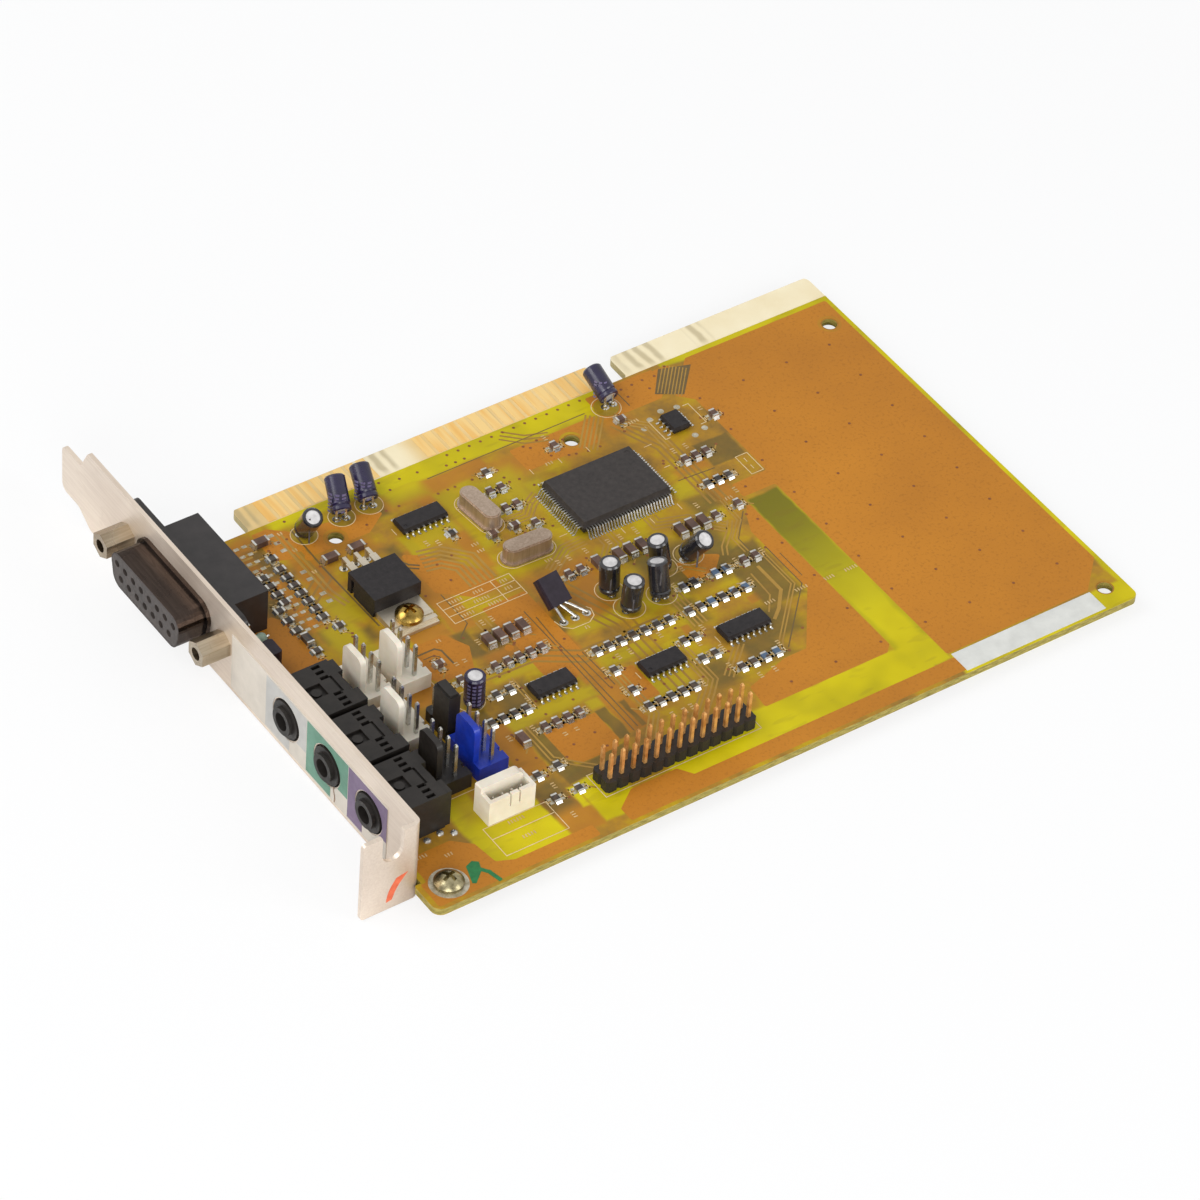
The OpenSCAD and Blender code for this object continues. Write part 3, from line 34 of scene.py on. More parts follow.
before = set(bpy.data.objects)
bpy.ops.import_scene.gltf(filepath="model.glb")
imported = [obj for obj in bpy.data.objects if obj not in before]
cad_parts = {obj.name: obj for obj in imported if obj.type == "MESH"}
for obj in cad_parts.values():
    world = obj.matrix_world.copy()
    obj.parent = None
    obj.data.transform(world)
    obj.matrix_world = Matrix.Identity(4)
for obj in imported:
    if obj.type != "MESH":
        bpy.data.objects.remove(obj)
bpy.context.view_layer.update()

import math

import bpy
import numpy as np
from bpy.props import FloatProperty, IntProperty, PointerProperty
from mathutils import Matrix, Vector

MM = 0.001
# The board's near corner under the bracket's face, in the frame's metres
ORIGIN = np.array([-72.585, -64.1, 3.23]) * MM
PREFIX = "card"
# Heights of the thin layers over the board's top face, and of the tracks under its lower one
LAYER = {
    "hidden": 0.006, "sheet": 0.014, "pad": 0.015, "track": 0.017, "ring": 0.022, "stub": 0.024,
    "bare_pad": 0.026, "print": 0.03, "via": 0.032, "stroke": 0.034, "blot": 0.038, "pen": 0.042,
    "under": -1.62,
}
# Crossing ribbons lie at a few slightly different heights, so that none share a plane
RIBBON_STEP, RIBBON_LEVELS = 0.0012, 5


# Helpers for places and meshes


def place(points):
    """Turns board millimetres into metres in the frame."""
    return np.asarray(points, dtype=float) * MM + ORIGIN


def with_z(xy, z):
    """Adds one height to an array of x, y points."""
    xy = np.asarray(xy, dtype=float)
    return np.concatenate([xy, np.full(xy.shape[:-1] + (1,), float(z))], axis=-1)


def build(name, verts, faces, materials, face_slots=None, smooth=False):
    """Makes one mesh object from an array of points and an array of equal-sided faces."""
    verts = np.asarray(verts, dtype=np.float32).reshape(-1, 3)
    faces = np.asarray(faces, dtype=np.int32)
    mesh = bpy.data.meshes.new(name)
    mesh.vertices.add(len(verts))
    mesh.vertices.foreach_set("co", verts.ravel())
    sides = faces.shape[1]
    mesh.loops.add(faces.size)
    mesh.loops.foreach_set("vertex_index", faces.ravel())
    mesh.polygons.add(len(faces))
    mesh.polygons.foreach_set("loop_start", np.arange(len(faces), dtype=np.int32) * sides)
    mesh.polygons.foreach_set("loop_total", np.full(len(faces), sides, dtype=np.int32))
    if face_slots is not None:
        mesh.polygons.foreach_set("material_index", np.asarray(face_slots, dtype=np.int32))
    mesh.polygons.foreach_set("use_smooth", np.full(len(faces), smooth))
    mesh.update(calc_edges=True)
    mesh.validate()
    for m in materials:
        mesh.materials.append(m)
    obj = bpy.data.objects.new(name, mesh)
    bpy.context.scene.collection.objects.link(obj)
    return obj


def add_piece(name, parts):
    """Joins (points, faces, finish) parts into one object that rides on the card."""
    verts, faces, slots, mats, base = [], [], [], [], 0
    for points, polys, finish in parts:
        material = FINISH[finish]
        verts.append(points)
        faces.append(polys + base)
        if material not in mats:
            mats.append(material)
        slots.append(np.full(len(polys), mats.index(material)))
        base += len(points)
    obj = build(name, np.concatenate(verts), np.concatenate(faces), mats, np.concatenate(slots))
    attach(obj, "root")
    return obj


def strips(segments, width, z):
    """Flat ribbons: each segment (x0, y0, x1, y1) is widened to both sides by half the width and
    lengthened by the same amount at both ends, so that ribbons meeting at a corner close it."""
    s = np.asarray(segments, dtype=float).reshape(-1, 4)
    p, q = s[:, :2], s[:, 2:]
    d = q - p
    d /= np.maximum(np.linalg.norm(d, axis=1, keepdims=True), 1e-9)
    w = np.broadcast_to(np.asarray(width, dtype=float).reshape(-1, 1), (len(s), 1)) / 2
    n = np.stack([-d[:, 1], d[:, 0]], axis=1) * w
    e = d * w * 0.8
    quad = np.stack([p - e - n, q + e - n, q + e + n, p - e + n], axis=1)
    rise = z + RIBBON_STEP * (np.arange(len(s)) % RIBBON_LEVELS)
    height = np.broadcast_to(rise[:, None, None], quad.shape[:2] + (1,))
    points = place(np.concatenate([quad, height], axis=2)).reshape(-1, 3)
    return points, np.arange(len(s) * 4).reshape(-1, 4)


def chain(points):
    """Segments of one open line through the given points."""
    p = np.asarray(points, dtype=float)
    return np.concatenate([p[:-1], p[1:]], axis=1)


def loop(points):
    """Segments of one closed line through the given points."""
    p = np.asarray(points, dtype=float)
    return np.concatenate([p, np.roll(p, -1, axis=0)], axis=1)


def bus(points, count, pitch):
    """Parallel copies of a line: each copy is shifted along every corner's mitre, so that the
    lines keep the same distance from each other through the bends."""
    p = np.asarray(points, dtype=float)
    d = p[1:] - p[:-1]
    d /= np.linalg.norm(d, axis=1, keepdims=True)
    n = np.stack([-d[:, 1], d[:, 0]], axis=1)
    first, last = n[:1], n[-1:]
    m = n[:-1] + n[1:]
    m = m / np.maximum(np.sum(m * n[:-1], axis=1, keepdims=True), 0.2)
    m = np.concatenate([first, m, last])
    k = (np.arange(count) - (count - 1) / 2) * pitch
    lines = p[None] + k[:, None, None] * m[None]
    return np.concatenate([lines[:, :-1], lines[:, 1:]], axis=2).reshape(-1, 4)


def discs(centres, radius, z, sides=16, inner=0.0):
    """Flat discs, or rings where an inner radius is given: points at equal angles on circles
    round each centre, facing up."""
    c = np.asarray(centres, dtype=float).reshape(-1, 2)
    r = np.broadcast_to(np.asarray(radius, dtype=float).reshape(-1, 1), (len(c), 1))
    a = np.arange(sides) * 2 * math.pi / sides
    ring = np.stack([np.cos(a), np.sin(a)], axis=1)
    outer = c[:, None] + r[:, :, None] * ring[None]
    hole = c[:, None] + (np.asarray(inner) * np.ones_like(r))[:, :, None] * ring[None]
    pts = np.concatenate([hole, outer], axis=1)
    i = np.arange(sides)
    j = (i + 1) % sides
    quad = np.stack([i, i + sides, j + sides, j], axis=1)
    faces = (quad[None] + (np.arange(len(c)) * 2 * sides)[:, None, None]).reshape(-1, 4)
    return place(with_z(pts, z)).reshape(-1, 3), faces


def rects(boxes, z):
    """Flat rectangles from x0, y0, x1, y1, facing up."""
    b = np.asarray(boxes, dtype=float).reshape(-1, 4)
    quad = np.stack([b[:, [0, 1]], b[:, [2, 1]], b[:, [2, 3]], b[:, [0, 3]]], axis=1)
    return place(with_z(quad, z)).reshape(-1, 3), np.arange(len(b) * 4).reshape(-1, 4)


def sheets(shapes, z):
    """Flat convex shapes from an even number of corners, each cut into a fan of quads."""
    points, faces, base = [], [], 0
    for shape in shapes:
        p = np.asarray(shape, dtype=float)
        area = np.sum(p[:, 0] * np.roll(p[:, 1], -1) - np.roll(p[:, 0], -1) * p[:, 1])
        p = p if area > 0 else p[::-1]
        points.append(with_z(p, z))
        i = np.arange(1, len(p) - 2, 2)
        faces.append(base + np.stack([i * 0, i, i + 1, i + 2], axis=1))
        base += len(p)
    return place(np.concatenate(points)), np.concatenate(faces)


def rect_lines(boxes):
    """The four sides of each rectangle x0, y0, x1, y1 as segments."""
    b = np.asarray(boxes, dtype=float).reshape(-1, 4)
    return b[:, [[0, 1, 2, 1], [2, 1, 2, 3], [2, 3, 0, 3], [0, 3, 0, 1]]].reshape(-1, 4)


def ribbon(left, right):
    """Quads between two lines of points that run side by side."""
    i = np.arange(len(left) - 1)[:, None] * 2
    return place(np.stack([left, right], axis=1).reshape(-1, 3)), i + np.array([[0, 1, 3, 2]])


def domes(centres, radius, height, z, sides=12, rows=3):
    """Low rounded blobs: rings whose radius follows the cosine and height the sine of a rising
    angle, closed at the top by a small ring."""
    c = np.asarray(centres, dtype=float).reshape(-1, 2)
    t = np.linspace(0, math.pi / 2 * 0.93, rows + 1)
    a = np.arange(sides) * 2 * math.pi / sides
    x = radius * np.cos(t)[:, None] * np.cos(a)[None]
    y = radius * np.cos(t)[:, None] * np.sin(a)[None]
    h = (height * np.sin(t))[:, None] * np.ones(sides)[None]
    pts = np.stack([x, y, h], axis=-1).reshape(-1, 3)
    every = np.concatenate([c, np.full((len(c), 1), z)], axis=1)[:, None] + pts[None]
    r, i = np.meshgrid(np.arange(rows), np.arange(sides), indexing="ij")
    j = (i + 1) % sides
    quad = np.stack([r * sides + i, r * sides + j, (r + 1) * sides + j, (r + 1) * sides + i], axis=-1)
    quad = quad.reshape(-1, 4)
    faces = (quad[None] + (np.arange(len(c)) * len(pts))[:, None, None]).reshape(-1, 4)
    return place(every).reshape(-1, 3), faces


def solid_boxes(node):
    """Boxes of the separate solids of a frame node, in board millimetres: points at one place are
    merged, and labels spread along the edges until each solid has one."""
    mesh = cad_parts[node].data
    co = np.empty(len(mesh.vertices) * 3, dtype=np.float32)
    mesh.vertices.foreach_get("co", co)
    co = co.reshape(-1, 3).astype(float)
    edges = np.empty(len(mesh.edges) * 2, dtype=np.int32)
    mesh.edges.foreach_get("vertices", edges)
    edges = edges.reshape(-1, 2)
    keys, index = np.unique(np.round(co * 2e5).astype(np.int64), axis=0, return_inverse=True)
    index = index.ravel()
    edges = index[edges]
    label = np.arange(len(keys))
    for _ in range(200):
        low = np.minimum(label[edges[:, 0]], label[edges[:, 1]])
        new = label.copy()
        np.minimum.at(new, edges[:, 0], low)
        np.minimum.at(new, edges[:, 1], low)
        new = new[new]
        if np.array_equal(new, label):
            break
        label = new
    groups, member = np.unique(label, return_inverse=True)
    member = member.ravel()
    mm = (keys / 2e5 - ORIGIN) / MM
    low = np.full((len(groups), 3), np.inf)
    high = np.full((len(groups), 3), -np.inf)
    np.minimum.at(low, member, mm)
    np.maximum.at(high, member, mm)
    return low, high


# Materials


def srgb(r, g, b):
    """Shader colour of a seen colour with parts from 0 to 255."""
    v = np.array([r, g, b]) / 255.0
    v = np.where(v <= 0.04045, v / 12.92, ((v + 0.055) / 1.055) ** 2.4)
    return (*v.tolist(), 1.0)


class Shader:
    """A material's node tree with short ways to add and join nodes."""

    def __init__(self, name):
        self.material = bpy.data.materials.new(name)
        self.material.use_nodes = True
        self.tree = self.material.node_tree
        self.tree.nodes.clear()
        self.out = self.add("ShaderNodeOutputMaterial")
        self.bsdf = self.add("ShaderNodeBsdfPrincipled")
        self.join(self.bsdf.outputs[0], self.out.inputs[0])
        self.coord = self.add("ShaderNodeTexCoord").outputs["Object"]

    def add(self, kind, **values):
        node = self.tree.nodes.new(kind)
        for key, value in values.items():
            setattr(node, key, value)
        return node

    def join(self, a, b):
        self.tree.links.new(a, b)

    def feed(self, socket, value):
        if hasattr(value, "is_output"):
            self.join(value, socket)
        else:
            socket.default_value = value

    def math(self, kind, a, b=0.0, c=None):
        node = self.add("ShaderNodeMath", operation=kind)
        self.feed(node.inputs[0], a)
        self.feed(node.inputs[1], b)
        if c is not None:
            self.feed(node.inputs[2], c)
        return node.outputs[0]

    def noise(self, scale, detail=3.0, rough=0.55, vector=None, distortion=0.0):
        node = self.add("ShaderNodeTexNoise")
        node.inputs["Scale"].default_value = scale
        node.inputs["Detail"].default_value = detail
        node.inputs["Roughness"].default_value = rough
        node.inputs["Distortion"].default_value = distortion
        self.join(vector or self.coord, node.inputs["Vector"])
        return node.outputs["Fac"]

    def stretch(self, x, y, z):
        node = self.add("ShaderNodeVectorMath", operation="MULTIPLY")
        self.join(self.coord, node.inputs[0])
        node.inputs[1].default_value = (x, y, z)
        return node.outputs[0]

    def ramp(self, fac, *stops):
        """Colour along a factor, from stops of a position and a seen colour."""
        node = self.add("ShaderNodeValToRGB")
        elements = node.color_ramp.elements
        while len(elements) < len(stops):
            elements.new(0.5)
        for element, (position, *colour) in zip(elements, stops):
            element.position = position
            element.color = srgb(*colour)
        self.join(fac, node.inputs[0])
        return node.outputs[0]

    def mix(self, fac, a, b):
        node = self.add("ShaderNodeMix", data_type="RGBA", blend_type="MIX")
        self.feed(node.inputs["Factor"], fac)
        self.feed(node.inputs[6], a)
        self.feed(node.inputs[7], b)
        return node.outputs[2]

    def span(self, value, low, high, out_low=0.0, out_high=1.0):
        """Smooth change from one value to another between two limits."""
        node = self.add("ShaderNodeMapRange", interpolation_type="SMOOTHSTEP")
        self.feed(node.inputs[0], value)
        for i, v in enumerate((low, high, out_low, out_high)):
            node.inputs[i + 1].default_value = v
        return node.outputs[0]

    def bump(self, height, strength, distance):
        node = self.add("ShaderNodeBump")
        node.inputs["Strength"].default_value = strength
        node.inputs["Distance"].default_value = distance
        self.join(height, node.inputs["Height"])
        self.join(node.outputs[0], self.bsdf.inputs["Normal"])

    def finish(self, colour, rough, metal=0.0, **fixed):
        self.feed(self.bsdf.inputs["Base Color"], colour)
        self.feed(self.bsdf.inputs["Roughness"], rough)
        self.bsdf.inputs["Metallic"].default_value = metal
        for key, value in fixed.items():
            self.bsdf.inputs[key.replace("_", " ")].default_value = value
        return self.material


def grained(name, dark, light, scale, rough, metal=0.0, grain=0.12, depth=0.00002, **fixed):
    """A finish with cloudy colour between two tones, uneven gloss and a fine grain."""
    s = Shader(name)
    cloud = s.noise(scale, 4.0)
    colour = s.ramp(cloud, (0.3, *dark), (0.7, *light))
    gloss = s.span(s.noise(scale * 3.1, 3.0), 0.3, 0.7, rough * 0.85, min(1.0, rough * 1.15))
    s.bump(s.noise(scale * 9, 3.0), grain, depth)
    return s.finish(colour, gloss, metal, **fixed)


def region(s, x, y, box, soft=1.2):
    """One inside the box x0, y0, x1, y1 on the board, falling smoothly to nothing outside."""
    x0, y0, x1, y1 = box
    across = s.math("ABSOLUTE", s.math("SUBTRACT", x, (x0 + x1) / 2))
    along = s.math("ABSOLUTE", s.math("SUBTRACT", y, (y0 + y1) / 2))
    beyond = s.math("MAXIMUM", across, s.math("ADD", along, (x1 - x0 - y1 + y0) / 2))
    return s.span(beyond, (x1 - x0) / 2 - soft, (x1 - x0) / 2 + soft, 1.0, 0.0)


# Fields of the coating: x0, y0, x1, y1, softness of the edge
YELLOW_FIELDS = [
    (108.4, 4.6, 116, 59.2, 0.4), (55, 4, 112, 12.2, 0.5), (116, -1, 160, 5.4, 0.5),
    (155.4, -1, 160, 99.6, 0.4), (116, 98.2, 160, 101, 0.4), (14, 4, 20.2, 22, 0.6),
    (20, 58, 27, 70.5, 1.2), (24, 69, 30, 77, 1.6), (50, 95.2, 104, 101, 0.6), (50, 91.6, 58, 96, 1.6),
    (27, 97.2, 50, 101, 1), (58.4, 73, 62.4, 90, 1), (57, 64, 72, 68.5, 1), (64, 78, 75, 90, 2.4),
    (74, 66, 78.4, 85, 1.6), (97.4, 65.4, 101.6, 69.6, 0.8), (46.2, 70, 48.4, 84, 0.5),
    (50, 80, 58, 84.5, 1.2), (36, 30.2, 55, 33.4, 0.8), (40, 42, 54, 44.4, 0.8),
    (60, 44.4, 71, 47.4, 1.2), (60, 35, 70, 38.8, 1), (62, 24, 72, 30, 1.4), (76, 43.2, 84, 47, 1),
    (51.4, 27.6, 54.2, 30, 0.5), (40, 10, 42, 14, 0.4), (36, 8, 37.4, 13.4, 0.4), (27.6, 57, 33, 60, 0.6),
    (84, 93.4, 98, 96, 1.4), (15, 3, 30.2, 14.4, 0.4), (37.6, 3, 46.4, 13.8, 0.4),
]
OLIVE_FIELDS = [
    (108.8, 70.2, 116.2, 76.8, 0.3), (80, 44, 99, 57, 2), (94.6, 33, 103.4, 50, 0.8),
    (84, 21, 92, 29, 1.6), (89, 25, 98, 34, 1.8), (37, 14, 40.8, 30, 0.4), (40, 14, 52, 17.4, 0.4),
    (51.6, 18.6, 54, 27.2, 0.2), (56.9, 19.5, 58, 27, 0.2), (40.2, 49.8, 43.4, 57, 0.6),
    (44, 50.2, 55, 55, 1), (30.5, 34, 34.5, 38, 0.6), (38, 33.6, 45, 41, 1.6),
    (19.6, 66.2, 21.4, 69.6, 0.8), (26.4, 62.8, 29, 67, 1), (42.2, 79.2, 44.6, 83, 1),
    (46, 90.2, 48.6, 93.4, 0.8), (98, 60, 104, 65, 1.4), (58, 46.8, 59.8, 52, 0.6), (74, 20, 80, 27, 1.6),
    (80, 36, 84, 43, 1.4), (30, 9, 36, 17, 1.6), (20, 86, 23, 95, 1.2), (14, 66, 18, 82, 1.4),
]
ORANGE_FIELDS = [
    (41.4, 57, 46.4, 80.4, 0.6), (25, 77, 29.6, 97, 0.8), (17, 70, 22.4, 98.4, 1), (30, 84, 42, 93, 2),
    (47.6, 90.8, 72, 95, 0.6), (72, 87.4, 86, 92.4, 2), (31.4, 19, 36.6, 33, 0.3),
    (54.2, 19, 59.2, 56, 0.4), (64, 47, 72, 58, 1.6), (60, 56, 74, 62, 1.4), (24.6, 44, 30, 48.2, 0.6),
    (31, 50.6, 41, 61, 0.8), (55, 66, 58, 92, 0.8), (103, 60.4, 108.2, 68, 1),
    (100.6, 70.6, 108.4, 73, 1), (1, 58, 16, 80, 0.8), (92.8, 35.4, 95.4, 37.4, 0.25),
    (77.6, 34.9, 79.2, 37.3, 0.25), (29, 9, 31, 14, 0.4), (104, 93, 112, 99, 0.6),
    (42, 45.2, 58, 49.6, 1.2), (97, 87, 103, 93, 1.6), (86, 86, 94, 91, 1.4),
    (149.4, 89.4, 155.2, 95.2, 0.1), (30.6, 2.6, 37.2, 13.4, 0.4),
]
# The long yellow bar that darkens to its sides and far end, its middle, and the part-filled area
YELLOW_BAR = (108.4, 12.0, 116.0, 62.0)
YELLOW_BAR_X = 112.2
PARTS_AREA = (16.0, 15.0, 105.0, 94.0)
# Parts of the long tongue where the plating's backs warm the laminate, with softness
WARM_FIELDS = [(62.0, 95.0, 104.0, 112.0, 3.0), (10.0, 95.0, 49.0, 112.0, 2.0)]
# Where the board meets the tongues, the pitch of the contacts and the row of blue-topped chips
TONGUE_Y = 99.0
CONTACT_PITCH = 2.54
BLUE_CHIPS = (84.6, 20.0, 95.0, 50.0)


def board_coords(s):
    """Board millimetres x and y, bent a little by noise so that no edge is ruled."""
    wave = s.add("ShaderNodeTexNoise")
    wave.inputs["Scale"].default_value = 160.0
    wave.inputs["Detail"].default_value = 2.0
    s.join(s.coord, wave.inputs["Vector"])
    split = s.add("ShaderNodeSeparateXYZ")
    s.join(s.coord, split.inputs[0])
    jitter = s.add("ShaderNodeSeparateColor")
    s.join(wave.outputs["Color"], jitter.inputs[0])
    out = []
    for i, o in ((0, ORIGIN[0]), (1, ORIGIN[1])):
        mm = s.math("MULTIPLY_ADD", split.outputs[i], 1000.0, -o * 1000.0)
        out.append(s.math("ADD", mm, s.math("MULTIPLY_ADD", jitter.outputs[i], 1.6, -0.8)))
    return out


def mask_material():
    """Coated laminate with no copper under it: clear yellow at the edges, ochre and olive where
    hidden tracks and planes show through, with a fine cloth weave."""
    s = Shader("yellow_mask")
    x, y = board_coords(s)
    cloud = s.noise(110.0, 4.0, 0.62)
    stops = (0.3, 134, 102, 44), (0.46, 170, 126, 36), (0.56, 178, 142, 24), (0.7, 190, 164, 14)
    colour = s.ramp(cloud, *stops)
    bright = s.ramp(s.noise(60.0, 3.0), (0.32, 180, 166, 4), (0.5, 202, 186, 2), (0.7, 214, 200, 6))
    bar = region(s, x, y, YELLOW_BAR, 0.6)
    side = s.span(s.math("ABSOLUTE", s.math("SUBTRACT", x, YELLOW_BAR_X)), 2.0, 4.2)
    dark = s.math("MAXIMUM", s.math("MULTIPLY", side, 0.45), s.span(y, 14.0, 58.0, 0.0, 0.95))
    bright = s.mix(s.math("MULTIPLY", bar, dark), bright, srgb(104, 100, 18))
    among = region(s, x, y, PARTS_AREA, 2.0)
    bright = s.mix(s.math("MULTIPLY", among, 0.65), bright, srgb(166, 136, 28))
    olive = s.ramp(s.noise(300.0, 3.0), (0.3, 98, 84, 42), (0.7, 124, 98, 42))
    orange = s.ramp(s.noise(120.0, 3.0), (0.3, 166, 108, 34), (0.7, 186, 124, 38))
    layers = ((ORANGE_FIELDS, orange, 0.85), (OLIVE_FIELDS, olive, 0.85), (YELLOW_FIELDS, bright, 0.95))
    for fields, tone, strength in layers:
        inside = 0.0
        for *box, soft in fields:
            inside = s.math("MAXIMUM", inside, region(s, x, y, box, soft))
        colour = s.mix(s.math("MULTIPLY", inside, strength), colour, tone)
    streak = s.noise(420.0, 2.0, 0.6, s.stretch(0.3, 1.0, 1.0))
    colour = s.mix(s.span(streak, 0.56, 0.66, 0.0, 0.16), colour, srgb(120, 90, 34))
    weave = s.add("ShaderNodeTexWave", wave_type="BANDS", bands_direction="X")
    weave.inputs["Scale"].default_value = 900.0
    s.join(s.coord, weave.inputs["Vector"])
    s.bump(s.math("ADD", weave.outputs["Fac"], s.noise(1500.0, 2.0)), 0.06, 0.00002)
    return s.finish(colour, s.span(cloud, 0.3, 0.7, 0.38, 0.5), Specular_IOR_Level=0.25)


def copper_material(name, low, high):
    """Copper under the coating: warm orange with a soft change of tone and a slight orange peel."""
    s = Shader(name)
    cloud = s.noise(28.0, 4.0, 0.6)
    colour = s.ramp(cloud, (0.3, *low), (0.7, *high))
    speck = s.span(s.noise(1500.0, 3.0, 0.7), 0.52, 0.66, 0.0, 0.3)
    colour = s.mix(speck, colour, srgb(low[0] * 0.8, low[1] * 0.76, low[2] * 0.7))
    s.bump(s.noise(900.0, 3.0), 0.08, 0.00002)
    return s.finish(colour, s.span(cloud, 0.3, 0.7, 0.4, 0.52), 0.0, Specular_IOR_Level=0.25)


def laminate_material():
    """Bare glass cloth and resin: cream on the tongues' faces with soft grey bands where contacts
    of the other side show through, brown inside holes, and darker olive on cut edges."""
    s = Shader("laminate")
    cloud = s.noise(120.0, 4.0)
    x, y = board_coords(s)
    face = s.ramp(cloud, (0.3, 240, 224, 184), (0.7, 248, 236, 202))
    warm = s.ramp(cloud, (0.3, 226, 192, 126), (0.7, 236, 206, 146))
    for *box, soft in WARM_FIELDS:
        face = s.mix(region(s, x, y, box, soft), face, warm)
    period = s.math("FRACT", s.math("MULTIPLY_ADD", x, 1 / CONTACT_PITCH, 0.07))
    band = s.span(s.math("ABSOLUTE", s.math("SUBTRACT", period, 0.5)), 0.1, 0.42, 0.6, 0.0)
    which = s.span(s.noise(1.0, 0.0, 0.5, s.stretch(130.0, 0.0, 0.0)), 0.46, 0.54)
    shown = s.math("MULTIPLY", s.span(y, TONGUE_Y, 101.5), s.span(x, 129.0, 133.0, 1.0, 0.0))
    band = s.math("MULTIPLY", s.math("MULTIPLY", band, which), shown)
    face = s.mix(band, face, srgb(172, 156, 118))
    inner = s.ramp(s.noise(400.0, 3.0), (0.3, 140, 96, 34), (0.7, 176, 124, 46))
    face = s.mix(s.span(y, 98.0, TONGUE_Y), inner, face)
    grain = s.noise(500.0, 3.0, 0.6, s.stretch(1.0, 1.0, 6.0))
    edge = s.ramp(grain, (0.3, 112, 100, 34), (0.7, 176, 160, 84))
    pale_edge = s.ramp(cloud, (0.3, 186, 170, 118), (0.7, 206, 190, 140))
    normal = s.add("ShaderNodeSeparateXYZ")
    s.join(s.add("ShaderNodeNewGeometry").outputs["Normal"], normal.inputs[0])
    flat = s.span(s.math("ABSOLUTE", normal.outputs[2]), 0.3, 0.6)
    tongue = s.span(y, 99.4, 100.0)
    colour = s.mix(flat, s.mix(tongue, edge, pale_edge), face)
    return s.finish(colour, 0.5, Specular_IOR_Level=0.3)


def brushed(name, dark, light, rough, direction, metal=1.0):
    """Sheet metal with fine lines along one direction, clouds of handling and a few scratches."""
    s = Shader(name)
    factors = [400.0, 400.0, 400.0]
    factors[direction] = 14.0
    lines = s.noise(6.0, 4.0, 0.6, s.stretch(*factors))
    cloud = s.noise(60.0, 4.0)
    tone = s.math("MULTIPLY_ADD", lines, 0.45, s.math("MULTIPLY", cloud, 0.55))
    colour = s.ramp(tone, (0.35, *dark), (0.65, *light))
    scratch = s.span(s.noise(5.0, 1.0, 0.5, s.stretch(160.0, 30.0, 60.0), 1.5), 0.64, 0.67, 0.0, 0.3)
    colour = s.mix(scratch, colour, srgb(*dark))
    s.bump(lines, 0.12, 0.00001)
    return s.finish(colour, s.span(cloud, 0.3, 0.7, rough * 0.85, rough * 1.15), metal)


def worn_plating(name, base, stripe):
    """Plating with the narrow darker bands of wear that a socket leaves."""
    s = Shader(name)
    wear = s.noise(500.0, 3.0, 0.5, s.stretch(1.0, 0.08, 1.0))
    colour = s.ramp(wear, (0.4, *base), (0.62, *stripe))
    return s.finish(colour, 0.34, 0.55)


def resistor_material():
    """Small chips whose tops differ from one to the next: near black, olive brown or blue grey."""
    s = Shader("resistor")
    tone = s.noise(1.0, 0.0, 0.5, s.stretch(330.0, 330.0, 0.0))
    colour = s.ramp(tone, (0.35, 38, 34, 33), (0.5, 80, 62, 46), (0.6, 50, 43, 40), (0.68, 72, 64, 54))
    x, y = board_coords(s)
    blue = s.math("MULTIPLY", region(s, x, y, BLUE_CHIPS, 0.6), s.span(tone, 0.46, 0.5))
    colour = s.mix(blue, colour, srgb(74, 96, 122))
    s.bump(s.noise(2500.0, 2.0), 0.1, 0.00001)
    return s.finish(colour, 0.42)


